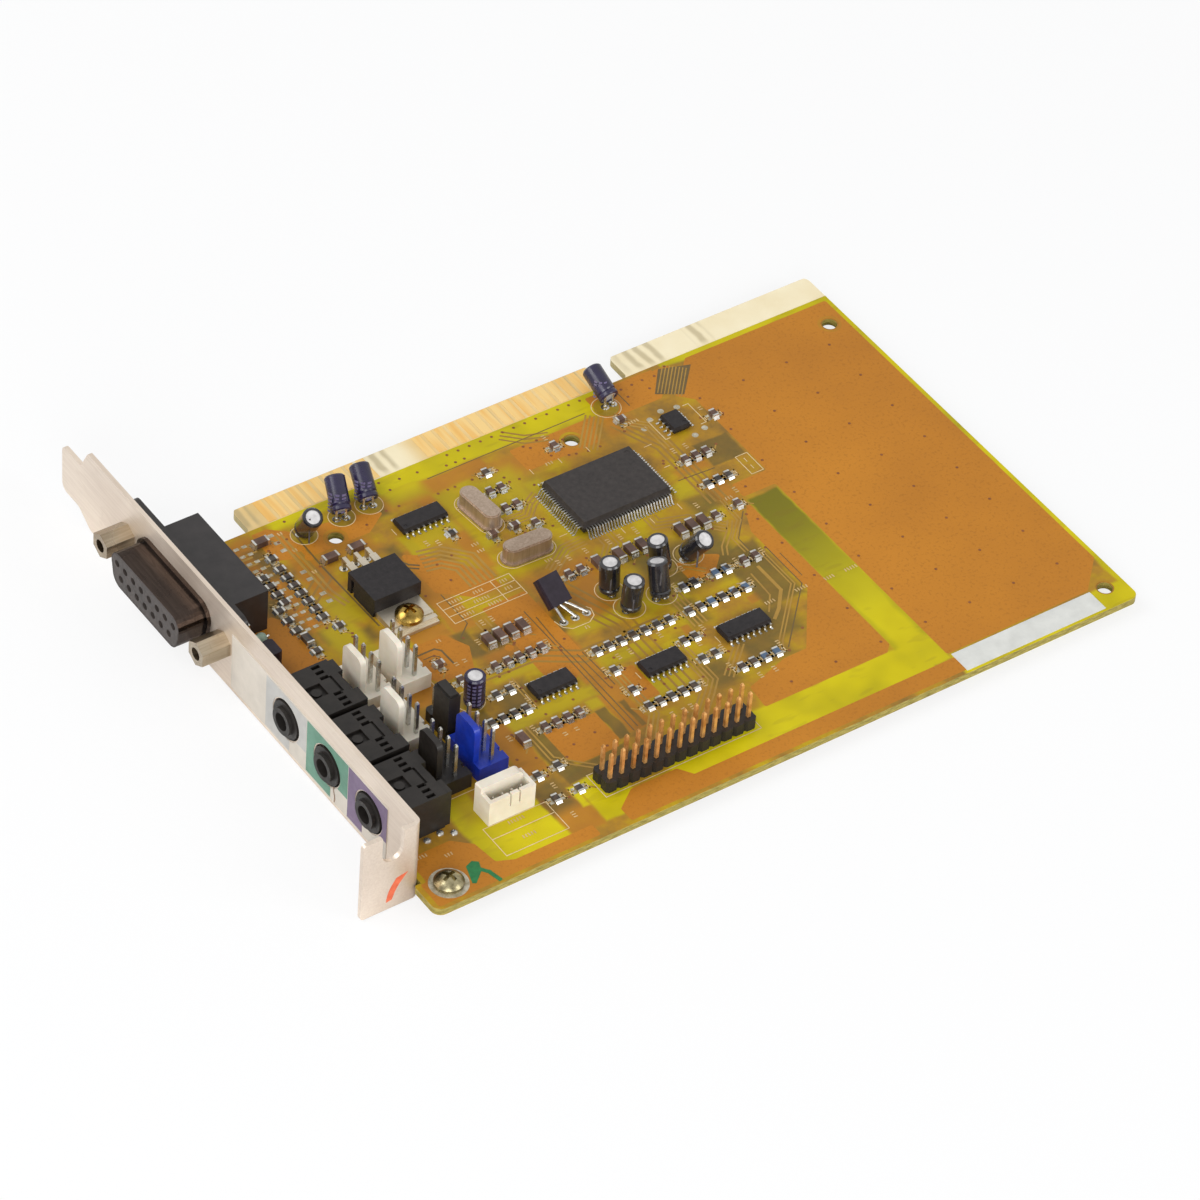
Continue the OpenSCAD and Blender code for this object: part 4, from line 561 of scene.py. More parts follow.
# Finishes by name: the function, its dark and light colours, its scale or direction, its
# roughness and the like in the function's own order, and last the values that it keeps fixed
MATT = {"Specular_IOR_Level": 0.3}
FINISHES = {
    "orange_mask": (copper_material, (178, 114, 32), (196, 128, 38)),
    "track": (copper_material, (178, 118, 42), (204, 142, 56)),
    # Dark gaps and the dark patch behind the slanted tracks; the same colour also paints the shadow strip at
    # x about 30
    "dark_gap": (grained, (92, 74, 38), (112, 88, 40), 200.0, 0.5),
    "fine_track": (grained, (156, 118, 44), (176, 136, 50), 200.0, 0.45),
    "hidden_track": (grained, (140, 104, 34), (160, 120, 34), 120.0, 0.45),
    "gold": (worn_plating, (252, 216, 144), (246, 194, 108)),
    "pin_gold": (worn_plating, (226, 172, 104), (186, 128, 66)),
    "tin": (grained, (176, 174, 168), (226, 226, 222), 900.0, 0.24, 0.95),
    "pad_tin": (grained, (150, 140, 112), (206, 200, 182), 1400.0, 0.36, 0.6),
    "bracket": (brushed, (216, 200, 184), (234, 221, 206), 0.44, 1, 0.75),
    "shell": (brushed, (48, 41, 38), (80, 69, 63), 0.26, 1),
    "screw_steel": (brushed, (158, 142, 120), (206, 194, 172), 0.3, 0),
    "screw_brass": (grained, (104, 82, 36), (190, 158, 82), 700.0, 0.26, 1.0),
    "tab_tin": (brushed, (196, 186, 166), (216, 206, 188), 0.34, 0, 0.85),
    "board_screw": (grained, (112, 104, 78), (188, 178, 142), 700.0, 0.3, 1.0),
    "film_grey": (grained, (190, 182, 170), (206, 197, 184), 200.0, 0.5),
    "film_blue": (grained, (168, 166, 162), (184, 182, 177), 200.0, 0.5),
    "film_green": (grained, (84, 126, 106), (100, 142, 122), 200.0, 0.5),
    "film_purple": (grained, (104, 86, 112), (118, 100, 126), 200.0, 0.5),
    "black_plastic": (grained, (28, 25, 23), (42, 38, 35), 300.0, 0.46, 0.0, 0.2,
                      {"Specular_IOR_Level": 0.35}),
    "port_plastic": (grained, (30, 27, 28), (46, 42, 42), 300.0, 0.36, 0.0, 0.2),
    "insert_plastic": (grained, (54, 48, 45), (70, 62, 58), 400.0, 0.5),
    "epoxy": (grained, (28, 25, 27), (42, 38, 39), 900.0, 0.5, 0.0, 0.35, 0.00003, MATT),
    "codec_epoxy": (grained, (46, 42, 41), (60, 55, 53), 1100.0, 0.5, 0.0, 0.35, 0.00003, MATT),
    "purple_epoxy": (grained, (30, 23, 32), (44, 36, 46), 600.0, 0.45, MATT),
    "crystal": (brushed, (150, 130, 112), (196, 176, 158), 0.36, 2, 0.7),
    "black_sleeve": (grained, (22, 22, 26), (40, 39, 44), 300.0, 0.2,
                     {"Coat_Weight": 0.5, "Coat_Roughness": 0.1}),
    "blue_sleeve": (grained, (24, 18, 46), (36, 28, 66), 300.0, 0.28,
                    {"Coat_Weight": 0.25, "Coat_Roughness": 0.15}),
    "can_top": (grained, (196, 194, 194), (232, 230, 230), 800.0, 0.4, 0.5),
    "brown_ceramic": (grained, (70, 50, 42), (104, 76, 62), 500.0, 0.5),
    "white_nylon": (grained, (216, 206, 186), (234, 226, 210), 200.0, 0.42,
                    {"Subsurface_Weight": 0.1, "Subsurface_Scale": 0.001}),
    "blue_nylon": (grained, (8, 34, 128), (14, 52, 172), 300.0, 0.38),
    "ferrite": (grained, (128, 150, 132), (160, 178, 160), 500.0, 0.6),
    "paper": (grained, (206, 206, 200), (222, 222, 216), 300.0, 0.7),
    "print": (grained, (214, 184, 132), (230, 206, 160), 600.0, 0.6),
    "faint_print": (grained, (184, 150, 92), (214, 184, 132), 700.0, 0.6),
    # A painted highlight: lighter grey for the shine stripe on the black capacitor sleeves
    "black_print": (grained, (70, 68, 72), (96, 92, 96), 900.0, 0.35),
    "blue_print": (grained, (96, 90, 128), (124, 118, 154), 900.0, 0.4),
    "via_dark": (grained, (112, 62, 26), (144, 84, 32), 900.0, 0.5),
    "ring_yellow": (grained, (134, 104, 12), (164, 134, 18), 200.0, 0.42),
    "orange_pen": (grained, (200, 86, 50), (222, 108, 70), 900.0, 0.6),
    "green_pen": (grained, (18, 100, 52), (34, 128, 70), 900.0, 0.5),
    "brown_scratch": (grained, (120, 88, 66), (150, 116, 90), 900.0, 0.5),
}


def all_materials():
    """Every finish that the frame's nodes and the pieces use, by name."""
    made = {"yellow_mask": mask_material(), "laminate": laminate_material(), "resistor": resistor_material()}
    for name, (maker, *values) in FINISHES.items():
        fixed = values.pop() if isinstance(values[-1], dict) else {}
        made[name] = maker(name, *values, **fixed)
    return made


NODE_FINISH = {
    "circuit_board": "laminate", "solder_mask": "yellow_mask", "copper_pour": "orange_mask",
    "edge_contacts": "gold", "tinned_pads": "pad_tin", "solder_joints": "tin",
    "mounting_bracket": "bracket", "port_label": "film_grey", "label_blue_field": "film_blue",
    "label_green_field": "film_green", "label_purple_field": "film_purple",
    "game_port_shell": "shell", "game_port_insert": "insert_plastic",
    "game_port_housing": "port_plastic", "game_port_contacts": "tin", "game_port_clips": "tin",
    "jack_screws": "screw_steel", "audio_jack_1": "black_plastic", "audio_jack_2": "black_plastic",
    "audio_jack_3": "black_plastic", "jack_contacts": "tin", "regulator_body": "epoxy",
    "regulator_leadframe": "tab_tin", "regulator_screw": "screw_brass", "regulator_nut": "screw_steel",
    "board_screw": "board_screw", "codec_body": "codec_epoxy", "codec_leads": "tin",
    "logic_chip": "epoxy", "memory_chip": "epoxy", "filter_chip": "epoxy", "mixer_chip": "epoxy",
    "amplifier_chip": "epoxy", "small_chip_leads": "tin", "crystal_cans": "crystal",
    "crystal_leads": "tin", "black_capacitors": "black_sleeve", "blue_capacitors": "blue_sleeve",
    "capacitor_cans": "can_top", "capacitor_leads": "tin", "transistor_body": "purple_epoxy",
    "transistor_legs": "tin", "mute_transistor": "purple_epoxy", "mute_transistor_legs": "tin",
    "green_choke": "ferrite", "choke_leads": "tin", "chip_resistors": "resistor",
    "chip_capacitors": "brown_ceramic", "chip_ends": "tin", "feature_header": "black_plastic",
    "feature_pins": "pin_gold", "white_headers": "white_nylon", "black_header": "black_plastic",
    "blue_header": "blue_nylon", "cd_header": "white_nylon", "header_pins": "tin",
    "jumper_header": "black_plastic", "jumper_cap": "black_plastic", "board_sticker": "paper",
}
FINISH = {}


# Tables of the board's printing and tracks

# Small chips with printed lines: centre x, y, length and width
CHIPS = [
    (52.3, 85.7, 9.9, 3.9), (48.5, 36.3, 8.7, 3.9), (69, 30.6, 8.7, 3.9), (87.6, 30.9, 9.9, 3.9),
]
# Rings round the capacitors: centre x, y and radius
CAP_RINGS = [
    (31.6, 93.6, 2.6), (40.3, 94.2, 2.6), (46.6, 94.5, 2.7), (100.6, 94.4, 2.9), (72.1, 52, 2.8),
    (72.7, 46.3, 3), (79.9, 46.2, 2.9), (84.2, 52.1, 2.8), (90.4, 52.5, 2.9), (33.7, 40.8, 2.7),
]
# Outlines round the crystals: centre x, y and turn in degrees
CRYSTALS = [(62.9, 81.6, 95.0), (64.6, 68.3, -2.0)]
CRYSTAL_FLAT, CRYSTAL_R = 3.4, 2.6
# Boxes round groups of headers, the table's frame and the audio header's field: x0, y0, x1, y1
PRINT_BOXES = [
    (15.2, 21.8, 30.4, 58.4), (42.6, 59.2, 58.6, 65.4), (41.0, 7.9, 75.2, 14.2), (17.6, 5.0, 31.0, 12.6),
    (17.6, 9.6, 31.0, 9.62),
]
TABLE_LINES = [(42.6, 63.3, 58.6, 63.3), (42.6, 61.2, 58.6, 61.2), (54.4, 59.2, 54.4, 65.4)]
LINK_BOX = (113.7, 64.6, 116.4, 70.1)
LINK_MARKS = [(115.0, 68.0, 115.0, 69.0), (115.0, 65.8, 115.0, 66.8)]
TRANSISTOR_ARC = [
    (58.6, 50.3), (59.1, 48.2), (60.5, 47.0), (64.2, 46.9), (65.9, 48.0), (66.4, 49.8), (65.9, 50.6),
]
# Single printed ticks and short lines: x0, y0, x1, y1
TICKS = [
    (78, 87.2, 78, 85.8), (84.4, 87, 84.4, 85.7), (90.8, 87, 90.8, 85.6), (96.6, 63.4, 96.6, 65),
    (89.9, 62.8, 89.9, 64.4), (83.6, 63.4, 83.6, 64.8), (72.4, 68.8, 74, 68.8), (100.4, 81.3, 102, 81.3),
    (100.4, 74.6, 101.6, 74.6), (105.2, 86.8, 105.2, 81), (105.2, 86.8, 106.4, 86.8),
    (105.2, 81, 106.2, 81), (114.8, 87.3, 114.8, 81.2), (113.6, 87.3, 114.8, 87.3),
    (113.6, 81.2, 114.8, 81.2),
]
# Lines of copper under the coating: corners, number of lines, pitch, width
TRACKS = [
    ([(118.75, 97.45), (113.35, 91.35)], 8, 0.66, 0.24),
    ([(102.5, 56.1), (100.6, 53.7), (97.4, 50.8), (96.3, 48.8)], 2, 0.9, 0.34),
    ([(104.5, 61.6), (104.1, 55.4), (100.3, 51.7), (100.3, 47.6)], 2, 0.7, 0.3),
    ([(99.7, 43), (99.7, 35.8), (96.4, 31.9), (94.2, 30.1)], 1, 1, 0.7),
    ([(102.6, 46.4), (102.6, 36), (91.6, 24.6), (90.4, 22.4)], 2, 0.66, 0.3),
    ([(97.4, 42.1), (97.1, 35.7), (94.3, 32.1)], 1, 1, 0.34),
    ([(65.6, 77.2), (70.4, 76.9), (72.8, 79.2), (75.4, 80.6)], 4, 0.8, 0.36),
    ([(46.6, 76.4), (50.2, 75.6), (53.4, 72.2), (53.4, 66.2)], 6, 1.1, 0.5),
    ([(91, 86.4), (97.2, 93.4)], 5, 0.85, 0.36),
    ([(74.6, 34), (74.6, 23), (72, 20.4), (66.4, 15.4)], 4, 0.85, 0.36),
    ([(81.6, 45), (81.6, 36)], 4, 0.9, 0.36),
    ([(66, 62), (71.4, 65.6), (75.6, 65.8)], 4, 0.8, 0.36),
    ([(80, 65), (80, 62), (77, 59)], 5, 0.85, 0.36),
    ([(90, 64.6), (90, 62.4), (96, 60.4), (101, 55)], 4, 0.85, 0.36),
    ([(43.2, 42), (43.2, 33.6)], 2, 0.7, 0.3),
    ([(60.6, 34), (60.6, 21), (56.6, 16.4)], 3, 0.85, 0.36),
    ([(78, 22), (84.6, 28)], 3, 0.85, 0.36),
    ([(38.2, 30), (38.2, 21), (41, 18), (44, 15.2)], 2, 0.9, 0.36),
    ([(27.4, 96), (27.4, 78), (28.4, 74)], 2, 1.1, 0.5),
    ([(100.4, 90), (104.6, 86), (104.6, 79)], 3, 0.8, 0.36),
    ([(13.2, 93), (15.5, 93), (17, 91.5), (20, 91.5)], 3, 1.9, 0.5),
    ([(47, 57.4), (47, 55.2)], 2, 2, 0.36),
    ([(17.4, 84.2), (21.6, 84.2)], 12, 2.26, 0.4),
    ([(84, 50), (88, 50), (90.6, 47.4)], 2, 0.85, 0.36),
]
# Narrow gaps between wide lines, and one painted shadow strip: corners, number of lines, pitch, width
GAPS_AND_SHADOW = [
    ([(55.3, 55.4), (55.3, 40), (55, 19.4)], 1, 1, 0.22),
    ([(56.4, 53), (56, 46), (56.2, 41), (56.2, 20)], 1, 1, 0.22),
    ([(57.3, 41), (57.6, 31)], 1, 1, 0.22),
    ([(58.5, 41), (58.8, 31)], 1, 1, 0.22),
    ([(32, 55.6), (35.6, 55.6), (36.5, 54.6), (36.6, 50.8)], 1, 1, 0.4),
    ([(32.4, 54.2), (34.6, 54.2), (35.3, 53.4), (35.3, 51)], 1, 1, 0.22),
    ([(42.8, 78), (43.6, 76.6), (45.2, 75.4)], 2, 0.9, 0.4),
    ([(104.1, 46.4), (104.1, 35.2), (91.9, 22.6)], 1, 1, 0.22),
    ([(106.2, 57), (101, 51.2), (101, 48)], 1, 1, 0.22),
    # A painted shadow: this dark strip at x about 30 beside the orange field stands in for shade, not a gap
    # in the copper
    ([(30.2, 96), (29.9, 84), (30.3, 66)], 1, 1, 0.36),
    ([(104.8, 92.6), (104.8, 98.6)], 1, 1, 0.22),
    ([(44.6, 67), (44.6, 58.2), (41.4, 55.6)], 1, 1, 0.22),
    ([(60, 94.9), (96, 95.1)], 1, 1, 0.2),
    ([(100.6, 70.2), (108.6, 69.7)], 1, 1, 0.22),
    ([(105.4, 44), (105.4, 37)], 1, 1, 0.18),
]
# Faint lines of copper deeper in, and the tracks of the lower side, in the same form
HIDDEN = [
    ([(78.6, 98), (82, 94.8), (86.4, 93.2)], 3, 1.1, 0.4),
    ([(63, 60), (69, 44), (69, 24)], 4, 1.6, 0.5),
    ([(36, 45.5), (50, 45), (58, 40), (76, 40)], 3, 1.5, 0.5),
    ([(100, 90), (104, 80), (104, 62)], 4, 1.2, 0.5),
    ([(20, 76), (28.5, 82), (28.5, 90)], 3, 1.4, 0.5),
]
UNDER = [
    ([(30, 97), (30, 80), (44, 66), (44, 20)], 7, 1.5, 0.4),
    ([(60, 97), (60, 70), (76, 54), (76, 16)], 10, 1.5, 0.4),
    ([(81.6, 97), (81.6, 68.4), (100, 50), (100, 14)], 8, 1.5, 0.4),
    ([(120, 98), (120, 88), (106, 74), (96, 74)], 6, 1.4, 0.4),
    ([(8, 90), (20, 78), (40, 78)], 5, 1.6, 0.4),
    ([(14, 56), (30, 44), (58, 44)], 5, 1.6, 0.4),
]
# Small areas of copper, and the dark patch behind the eight slanted tracks
COPPER_SHEETS = [
    [(41.4, 24.6), (41.6, 18.8), (42.8, 17.6), (50.2, 17.6), (51.5, 19), (51.5, 26.8), (43.4, 26.8),
     (42, 26)],
    [(103.8, 93.4), (108, 92), (112.6, 95.2), (114.4, 99), (104, 99.2), (103.6, 96)],
]
DARK_SHEETS = [[(115.6, 98.5), (121.9, 96.4), (115.8, 89.9), (110.9, 92.8)]]
# Small holes seen on the board
VIAS = [
    (65.1, 96.2), (67.1, 96.1), (69.1, 96.1), (61.6, 90.4), (63.2, 90.4), (67.1, 90.4), (69.4, 90.3),
    (72.6, 87.8), (74.9, 86), (76.4, 83.2), (80.6, 93.2), (81.6, 92.2), (83.8, 93.4), (83.8, 88.4),
    (86.8, 86.8), (88.2, 86.4), (93.3, 85.8), (101.3, 76.3), (100.9, 75.6), (106, 97.2), (108.6, 97.3),
    (111.1, 97.4), (113.8, 97.2), (106, 94.8), (111, 94.7), (117.1, 98.5), (51.4, 98.6), (55.4, 97.6),
    (59.3, 97.4), (52.2, 95.9), (48.4, 91.4), (51.2, 91.3), (43.2, 90), (59.4, 90.4), (48.5, 74.2),
    (48.4, 69.4), (52.2, 74.9), (30.4, 98.6), (28.2, 94.3), (42, 68.2), (41.8, 55.3), (32.6, 24),
    (35.8, 22.6), (43.6, 22), (48.6, 22.6), (48.6, 18.6), (57.8, 30.6), (50, 31.6), (41.8, 43.4),
    (44, 43.6), (40.2, 32.6), (43.6, 31), (55.4, 43.4), (57.6, 45.6), (73, 72), (75.4, 72.2),
    (110.6, 62.4), (102.2, 70.2), (66.6, 26.4), (67, 29), (62.6, 36.8), (71.8, 36.7), (74.6, 57.6),
    (87, 14.9), (97.1, 14.9), (107.4, 14.9), (97.1, 25.4), (107.4, 25.4), (107.4, 35.8), (107.4, 46.1),
    (106.2, 56), (107.3, 53.8), (76.8, 37.4), (80.4, 33.2), (86, 60), (90.6, 85.9), (104.2, 75),
    (29, 63.2), (24.6, 66),
]
# Round spots of copper
PATCHES = [(19.8, 84.4), (19.7, 76.1), (19.9, 72.9), (23.5, 91.6), (47.6, 48.8), (29.2, 88)]
# The even grid of holes in the wide copper field, and the row along the long tongue
FIELD_XS = (117.7, 128.0, 138.3, 148.6)
FIELD_YS = (14.9, 25.4, 35.8, 46.1, 56.4, 66.8, 77.1, 87.4)
FIELD_VIAS = [(x, y) for x in FIELD_XS for y in FIELD_YS]
TONGUE_VIA_X, TONGUE_VIA_Y, TONGUE_VIAS = 66.8, 98.6, 13
# Bare pads beside the game port: y of the rows, then for each column its x, half width, half
# height and which of the rows it has
PORT_ROWS = [96.6, 94.3, 92.0, 89.8, 87.5, 85.2, 83.0, 80.7, 78.5, 76.2, 74.0, 71.8]
ALL_ROWS, FAR_ROWS = range(len(PORT_ROWS)), [0, 1, 2, 5, 6, 8, 9]
PORT_COLUMNS = [(18.6, 0.5, 0.36, ALL_ROWS), (20.3, 0.5, 0.36, ALL_ROWS), (26.1, 0.6, 0.42, FAR_ROWS)]
# Blobs of solder beside the front jack
BLOBS = [(3.4, 16.4), (7.6, 15.4), (10.6, 15.8), (12.8, 14.6)]
# Rows of short printed strokes beside the parts: x, y, number, along y or x
LABELS = [
    (27.9, 96.2, 2, 0), (27.9, 91, 2, 0), (27.9, 84.2, 2, 0), (43.5, 53, 3, 1), (54.3, 53, 3, 1),
    (54.3, 46.6, 3, 1), (38.7, 50.2, 2, 1), (36.9, 50.2, 2, 1), (47, 56.9, 3, 1), (49.1, 56.9, 3, 1),
    (42.9, 40.6, 3, 1), (42.9, 35.6, 3, 1), (34.4, 29.2, 3, 1), (39.6, 29.2, 3, 1), (50.6, 28.4, 3, 1),
    (43.8, 25, 2, 1), (46.3, 25, 2, 1), (59.3, 40.4, 3, 1), (59.3, 35, 3, 1), (59.3, 29, 3, 1),
    (59.3, 22.8, 3, 1), (39.7, 19.4, 3, 1), (63.5, 36.6, 3, 1), (66.1, 36.6, 3, 1), (73.3, 37.4, 3, 1),
    (78.2, 32.2, 4, 1), (78.2, 28.6, 3, 1), (81.2, 28.6, 4, 1), (81.2, 35, 3, 1), (83.2, 46.8, 3, 1),
    (82.9, 40.6, 3, 1), (87, 50, 3, 1), (93.8, 40.6, 3, 1), (96.2, 40.8, 3, 1), (102.8, 46.4, 3, 1),
    (97, 46.6, 3, 1), (72.9, 23, 4, 1), (79.7, 24.2, 3, 1), (90.9, 24.4, 3, 1), (83.1, 19.2, 3, 1),
    (86.4, 19.2, 3, 1), (63.4, 19, 3, 1), (65.8, 18.8, 3, 1), (67.5, 19, 3, 1), (68.2, 63, 3, 1),
    (70.6, 63.2, 3, 1), (74.4, 63.2, 3, 1), (79.5, 63, 3, 1), (82.1, 63, 3, 1), (85.6, 63, 4, 1),
    (99.5, 62.8, 3, 1), (104.6, 77.6, 3, 1), (107.4, 77.6, 3, 1), (110.9, 66.4, 3, 1), (106, 61.4, 3, 0),
    (108.4, 62.6, 3, 1), (85.4, 93.2, 3, 1), (82.2, 86.8, 3, 0), (102.8, 88.4, 4, 0), (101, 89.8, 3, 0),
    (50, 80, 3, 1), (52, 79, 3, 1), (96, 34.2, 4, 0), (103.2, 34.2, 5, 0), (109.4, 33.9, 4, 0),
    (114.4, 33.9, 5, 0), (60.4, 85, 2, 1), (72.2, 90.6, 3, 1), (34.6, 15.2, 3, 1), (37.4, 57, 2, 0),
    (63, 46, 2, 0), (67, 64.6, 3, 0), (57.6, 73.2, 3, 0), (57.6, 75.2, 3, 0), (116, 85, 2, 1),
    (46, 64.3, 5, 0), (51, 64.3, 4, 0), (56.6, 64.3, 3, 0), (45.4, 62.2, 4, 0), (50.4, 62.2, 6, 0),
    (56.4, 62.2, 3, 0), (46, 60.2, 5, 0), (52, 60.2, 5, 0), (24, 7.4, 5, 0), (24, 11.6, 6, 0),
    (4.6, 12.6, 4, 0), (9, 10.6, 3, 0), (33.6, 7.4, 3, 1), (42.8, 11.4, 2, 1),
]

# The green pen mark by the corner screw: a tail and a blot
PEN_TAIL = [(11.6, 5.0), (12.8, 3.4), (13.4, 0.9)]
PEN_BLOT = [(8.7, 2.6), (9.3, 2.2), (11.9, 4.4), (12.6, 6.4), (11.6, 7.2), (10.0, 6.6)]
# Planes just in front of the bracket's tab and of the label
TAB_FACE_Y = 7.588
LABEL_FACE_X = -0.165
# Printed marks on the blue sleeves, and a painted sheen stripe (a lighter grey band standing in for a
# highlight) on the black ones: angles in degrees, and parts of the height
BLUE_SPANS = [(196, 214), (224, 242), (252, 270)]
BLUE_ROWS = [(0.14 + 0.125 * k, 0.22 + 0.125 * k) for k in range(6)]
BLACK_SHEEN_SPANS, BLACK_SHEEN_ROWS = [(238, 246)], [(0.1, 0.9)]


def chip_boxes():
    """Outlines of the small surface parts: low and high corners of resistors and capacitors."""
    a, b = solid_boxes("chip_resistors")
    c, d = solid_boxes("chip_capacitors")
    return np.concatenate([a, c]), np.concatenate([b, d])


def chip_layout():
    """Centres of the small surface parts, and a column that says which of them lie along x."""
    low, high = chip_boxes()
    size = high[:, :2] - low[:, :2]
    return (low[:, :2] + high[:, :2]) / 2, (size[:, 0] > size[:, 1])[:, None]


def turned(long_x, along, across):
    """A pair of measures along and across each part, as x and y."""
    return np.where(long_x, [[along, across]], [[across, along]])


def stubs(rng):
    """Short tracks from both ends of every surface part to a nearby via: a straight piece, then
    one at 45 degrees, with lengths drawn from a seeded generator."""
    mid, long_x = chip_layout()
    way, side = turned(long_x, 1.0, 0.0), turned(long_x, 0.0, 1.0)
    out, ends = [], []
    for sign in (-1.0, 1.0):
        start = mid + way * sign * 1.2
        first = start + way * sign * rng.uniform(0.3, 0.9, (len(mid), 1))
        turn = rng.choice([-1.0, 1.0], (len(mid), 1))
        reach = rng.uniform(0.3, 1.3, (len(mid), 1))
        last = first + (way * sign + side * turn) * reach
        out += [np.concatenate([start, first], 1), np.concatenate([first, last], 1)]
        ends.append(last)
    ends = np.concatenate(ends)
    return np.concatenate(out), ends[rng.uniform(size=len(ends)) < 0.6]


def crystal_outline(x, y, turn, angles):
    """A long ring with round ends: a circle whose two halves are moved apart, then turned."""
    t = math.radians(turn)
    axes = np.array([[math.cos(t), math.sin(t)], [-math.sin(t), math.cos(t)]])
    apart = CRYSTAL_FLAT * np.sign(np.cos(angles))
    ring = np.stack([apart + CRYSTAL_R * np.cos(angles), CRYSTAL_R * np.sin(angles)], axis=1)
    return [x, y] + ring @ axes


def label_strokes(x, y, count, upright, pitch=0.6, half=0.3):
    """A short row of strokes, each one slightly tilted by the cosine of its place."""
    k = (np.arange(count) - (count - 1) / 2) * pitch
    tilt = 0.05 * np.cos(np.arange(count) * 2.3 + x)
    if upright:
        return np.stack([x - half + 0 * k, y + k - tilt, x + half + 0 * k, y + k + tilt], axis=1)
    return np.stack([x + k - tilt, y - half + 0 * k, x + k + tilt, y + half + 0 * k], axis=1)


def chip_prints():
    """Printed corners and end lines round each small surface part, as segments."""
    mid, long_x = chip_layout()
    half, short = turned(long_x, 1.8, 0.95), turned(long_x, 0.0, 0.4)
    lines = []
    for way in ((-1, -1), (1, -1), (1, 1), (-1, 1)):
        corner = mid + half * way
        lines.append(np.concatenate([corner, corner - short * way], axis=1))
    side = turned(long_x, 0.0, 0.9)
    for k in (-1, 1):
        end = turned(long_x, 1.8, 0.0) * k
        lines.append(np.concatenate([mid + end - side, mid + end + side], axis=1))
    return lines


def tab_stroke():
    """The orange pen stroke on the tab: it leans and bows by a sine, and thins towards its foot."""
    t = np.linspace(0, 1, 7)
    x = -2.9 - 2.6 * t - 0.5 * np.sin(math.pi * t)
    z = 4.1 - 5.4 * t
    h = 1.25 * (1 - 0.5 * t)
    face = np.full_like(t, TAB_FACE_Y)
    return ribbon(np.stack([x - h, face, z - 0.2 * h], axis=1), np.stack([x + h, face, z + 0.2 * h], axis=1))


def label_scratch():
    """The thin scratch on the label: it runs down and wavers by a sine."""
    z = np.linspace(2.5, -2.0, 9)
    y = 33.8 + 0.25 * np.sin(z * 1.3)
    face = np.full_like(z, LABEL_FACE_X)
    return ribbon(*(np.stack([face, y + side * 0.14, z], axis=1) for side in (-1, 1)))


def sleeve_bands(node, spans, rows, reach=0.02):
    """Curved patches on upright round bodies, used for printed marks and for a painted sheen stripe: for
    each body, patches that follow its side between two angles and between two heights given as parts of its
    own height."""
    low, high = solid_boxes(node)
    points, faces, base = [], [], 0
    n = 4
    for lo, hi in zip(low, high):
        c = (lo[:2] + hi[:2]) / 2
        r = min(hi[0] - lo[0], hi[1] - lo[1]) / 2 + reach
        for a0, a1 in spans:
            t = np.radians(np.linspace(a0, a1, n))
            for z0, z1 in rows:
                z = lo[2] + (hi[2] - lo[2]) * np.array([z0, z1])
                ring = np.stack([c[0] + r * np.cos(t), c[1] + r * np.sin(t)], axis=1)
                points.append(np.concatenate([with_z(ring, z[0]), with_z(ring, z[1])]))
                i = np.arange(n - 1)
                faces.append(base + np.stack([i, i + 1, i + 1 + n, i + n], axis=1))
                base += 2 * n
    return place(np.concatenate(points)), np.concatenate(faces)


# One operator for each piece or group


class CardSettings(bpy.types.PropertyGroup):
    """Sizes of the printed and plated detail."""

    track: FloatProperty(
        name="Track width", description="Width of a track on the board",
        default=0.3 * MM, unit="LENGTH", subtype="DISTANCE")
    line: FloatProperty(
        name="Print line", description="Width of the printed outlines",
        default=0.17 * MM, unit="LENGTH", subtype="DISTANCE")
    via: FloatProperty(
        name="Via radius", description="Radius of the small plated holes",
        default=0.3 * MM, unit="LENGTH", subtype="DISTANCE")
    pad: FloatProperty(
        name="Pad radius", description="Radius of the pads round the leads",
        default=0.85 * MM, unit="LENGTH", subtype="DISTANCE")
    seed: IntProperty(
        name="Seed", description="Start of the random choice of vias and short tracks", default=7)


def settings():
    """The sizes that the panel shows."""
    return bpy.context.scene.card_settings


class CARD_OT_finishes(bpy.types.Operator):
    """Gives every node of the frame its finish"""

    bl_idname = "card.finishes"
    bl_label = "Finishes"

    def execute(self, context):
        FINISH.update(all_materials())
        for node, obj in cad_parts.items():
            finish = FINISH[NODE_FINISH[node]]
            for slot in obj.material_slots:
                slot.material = finish
        return {"FINISHED"}


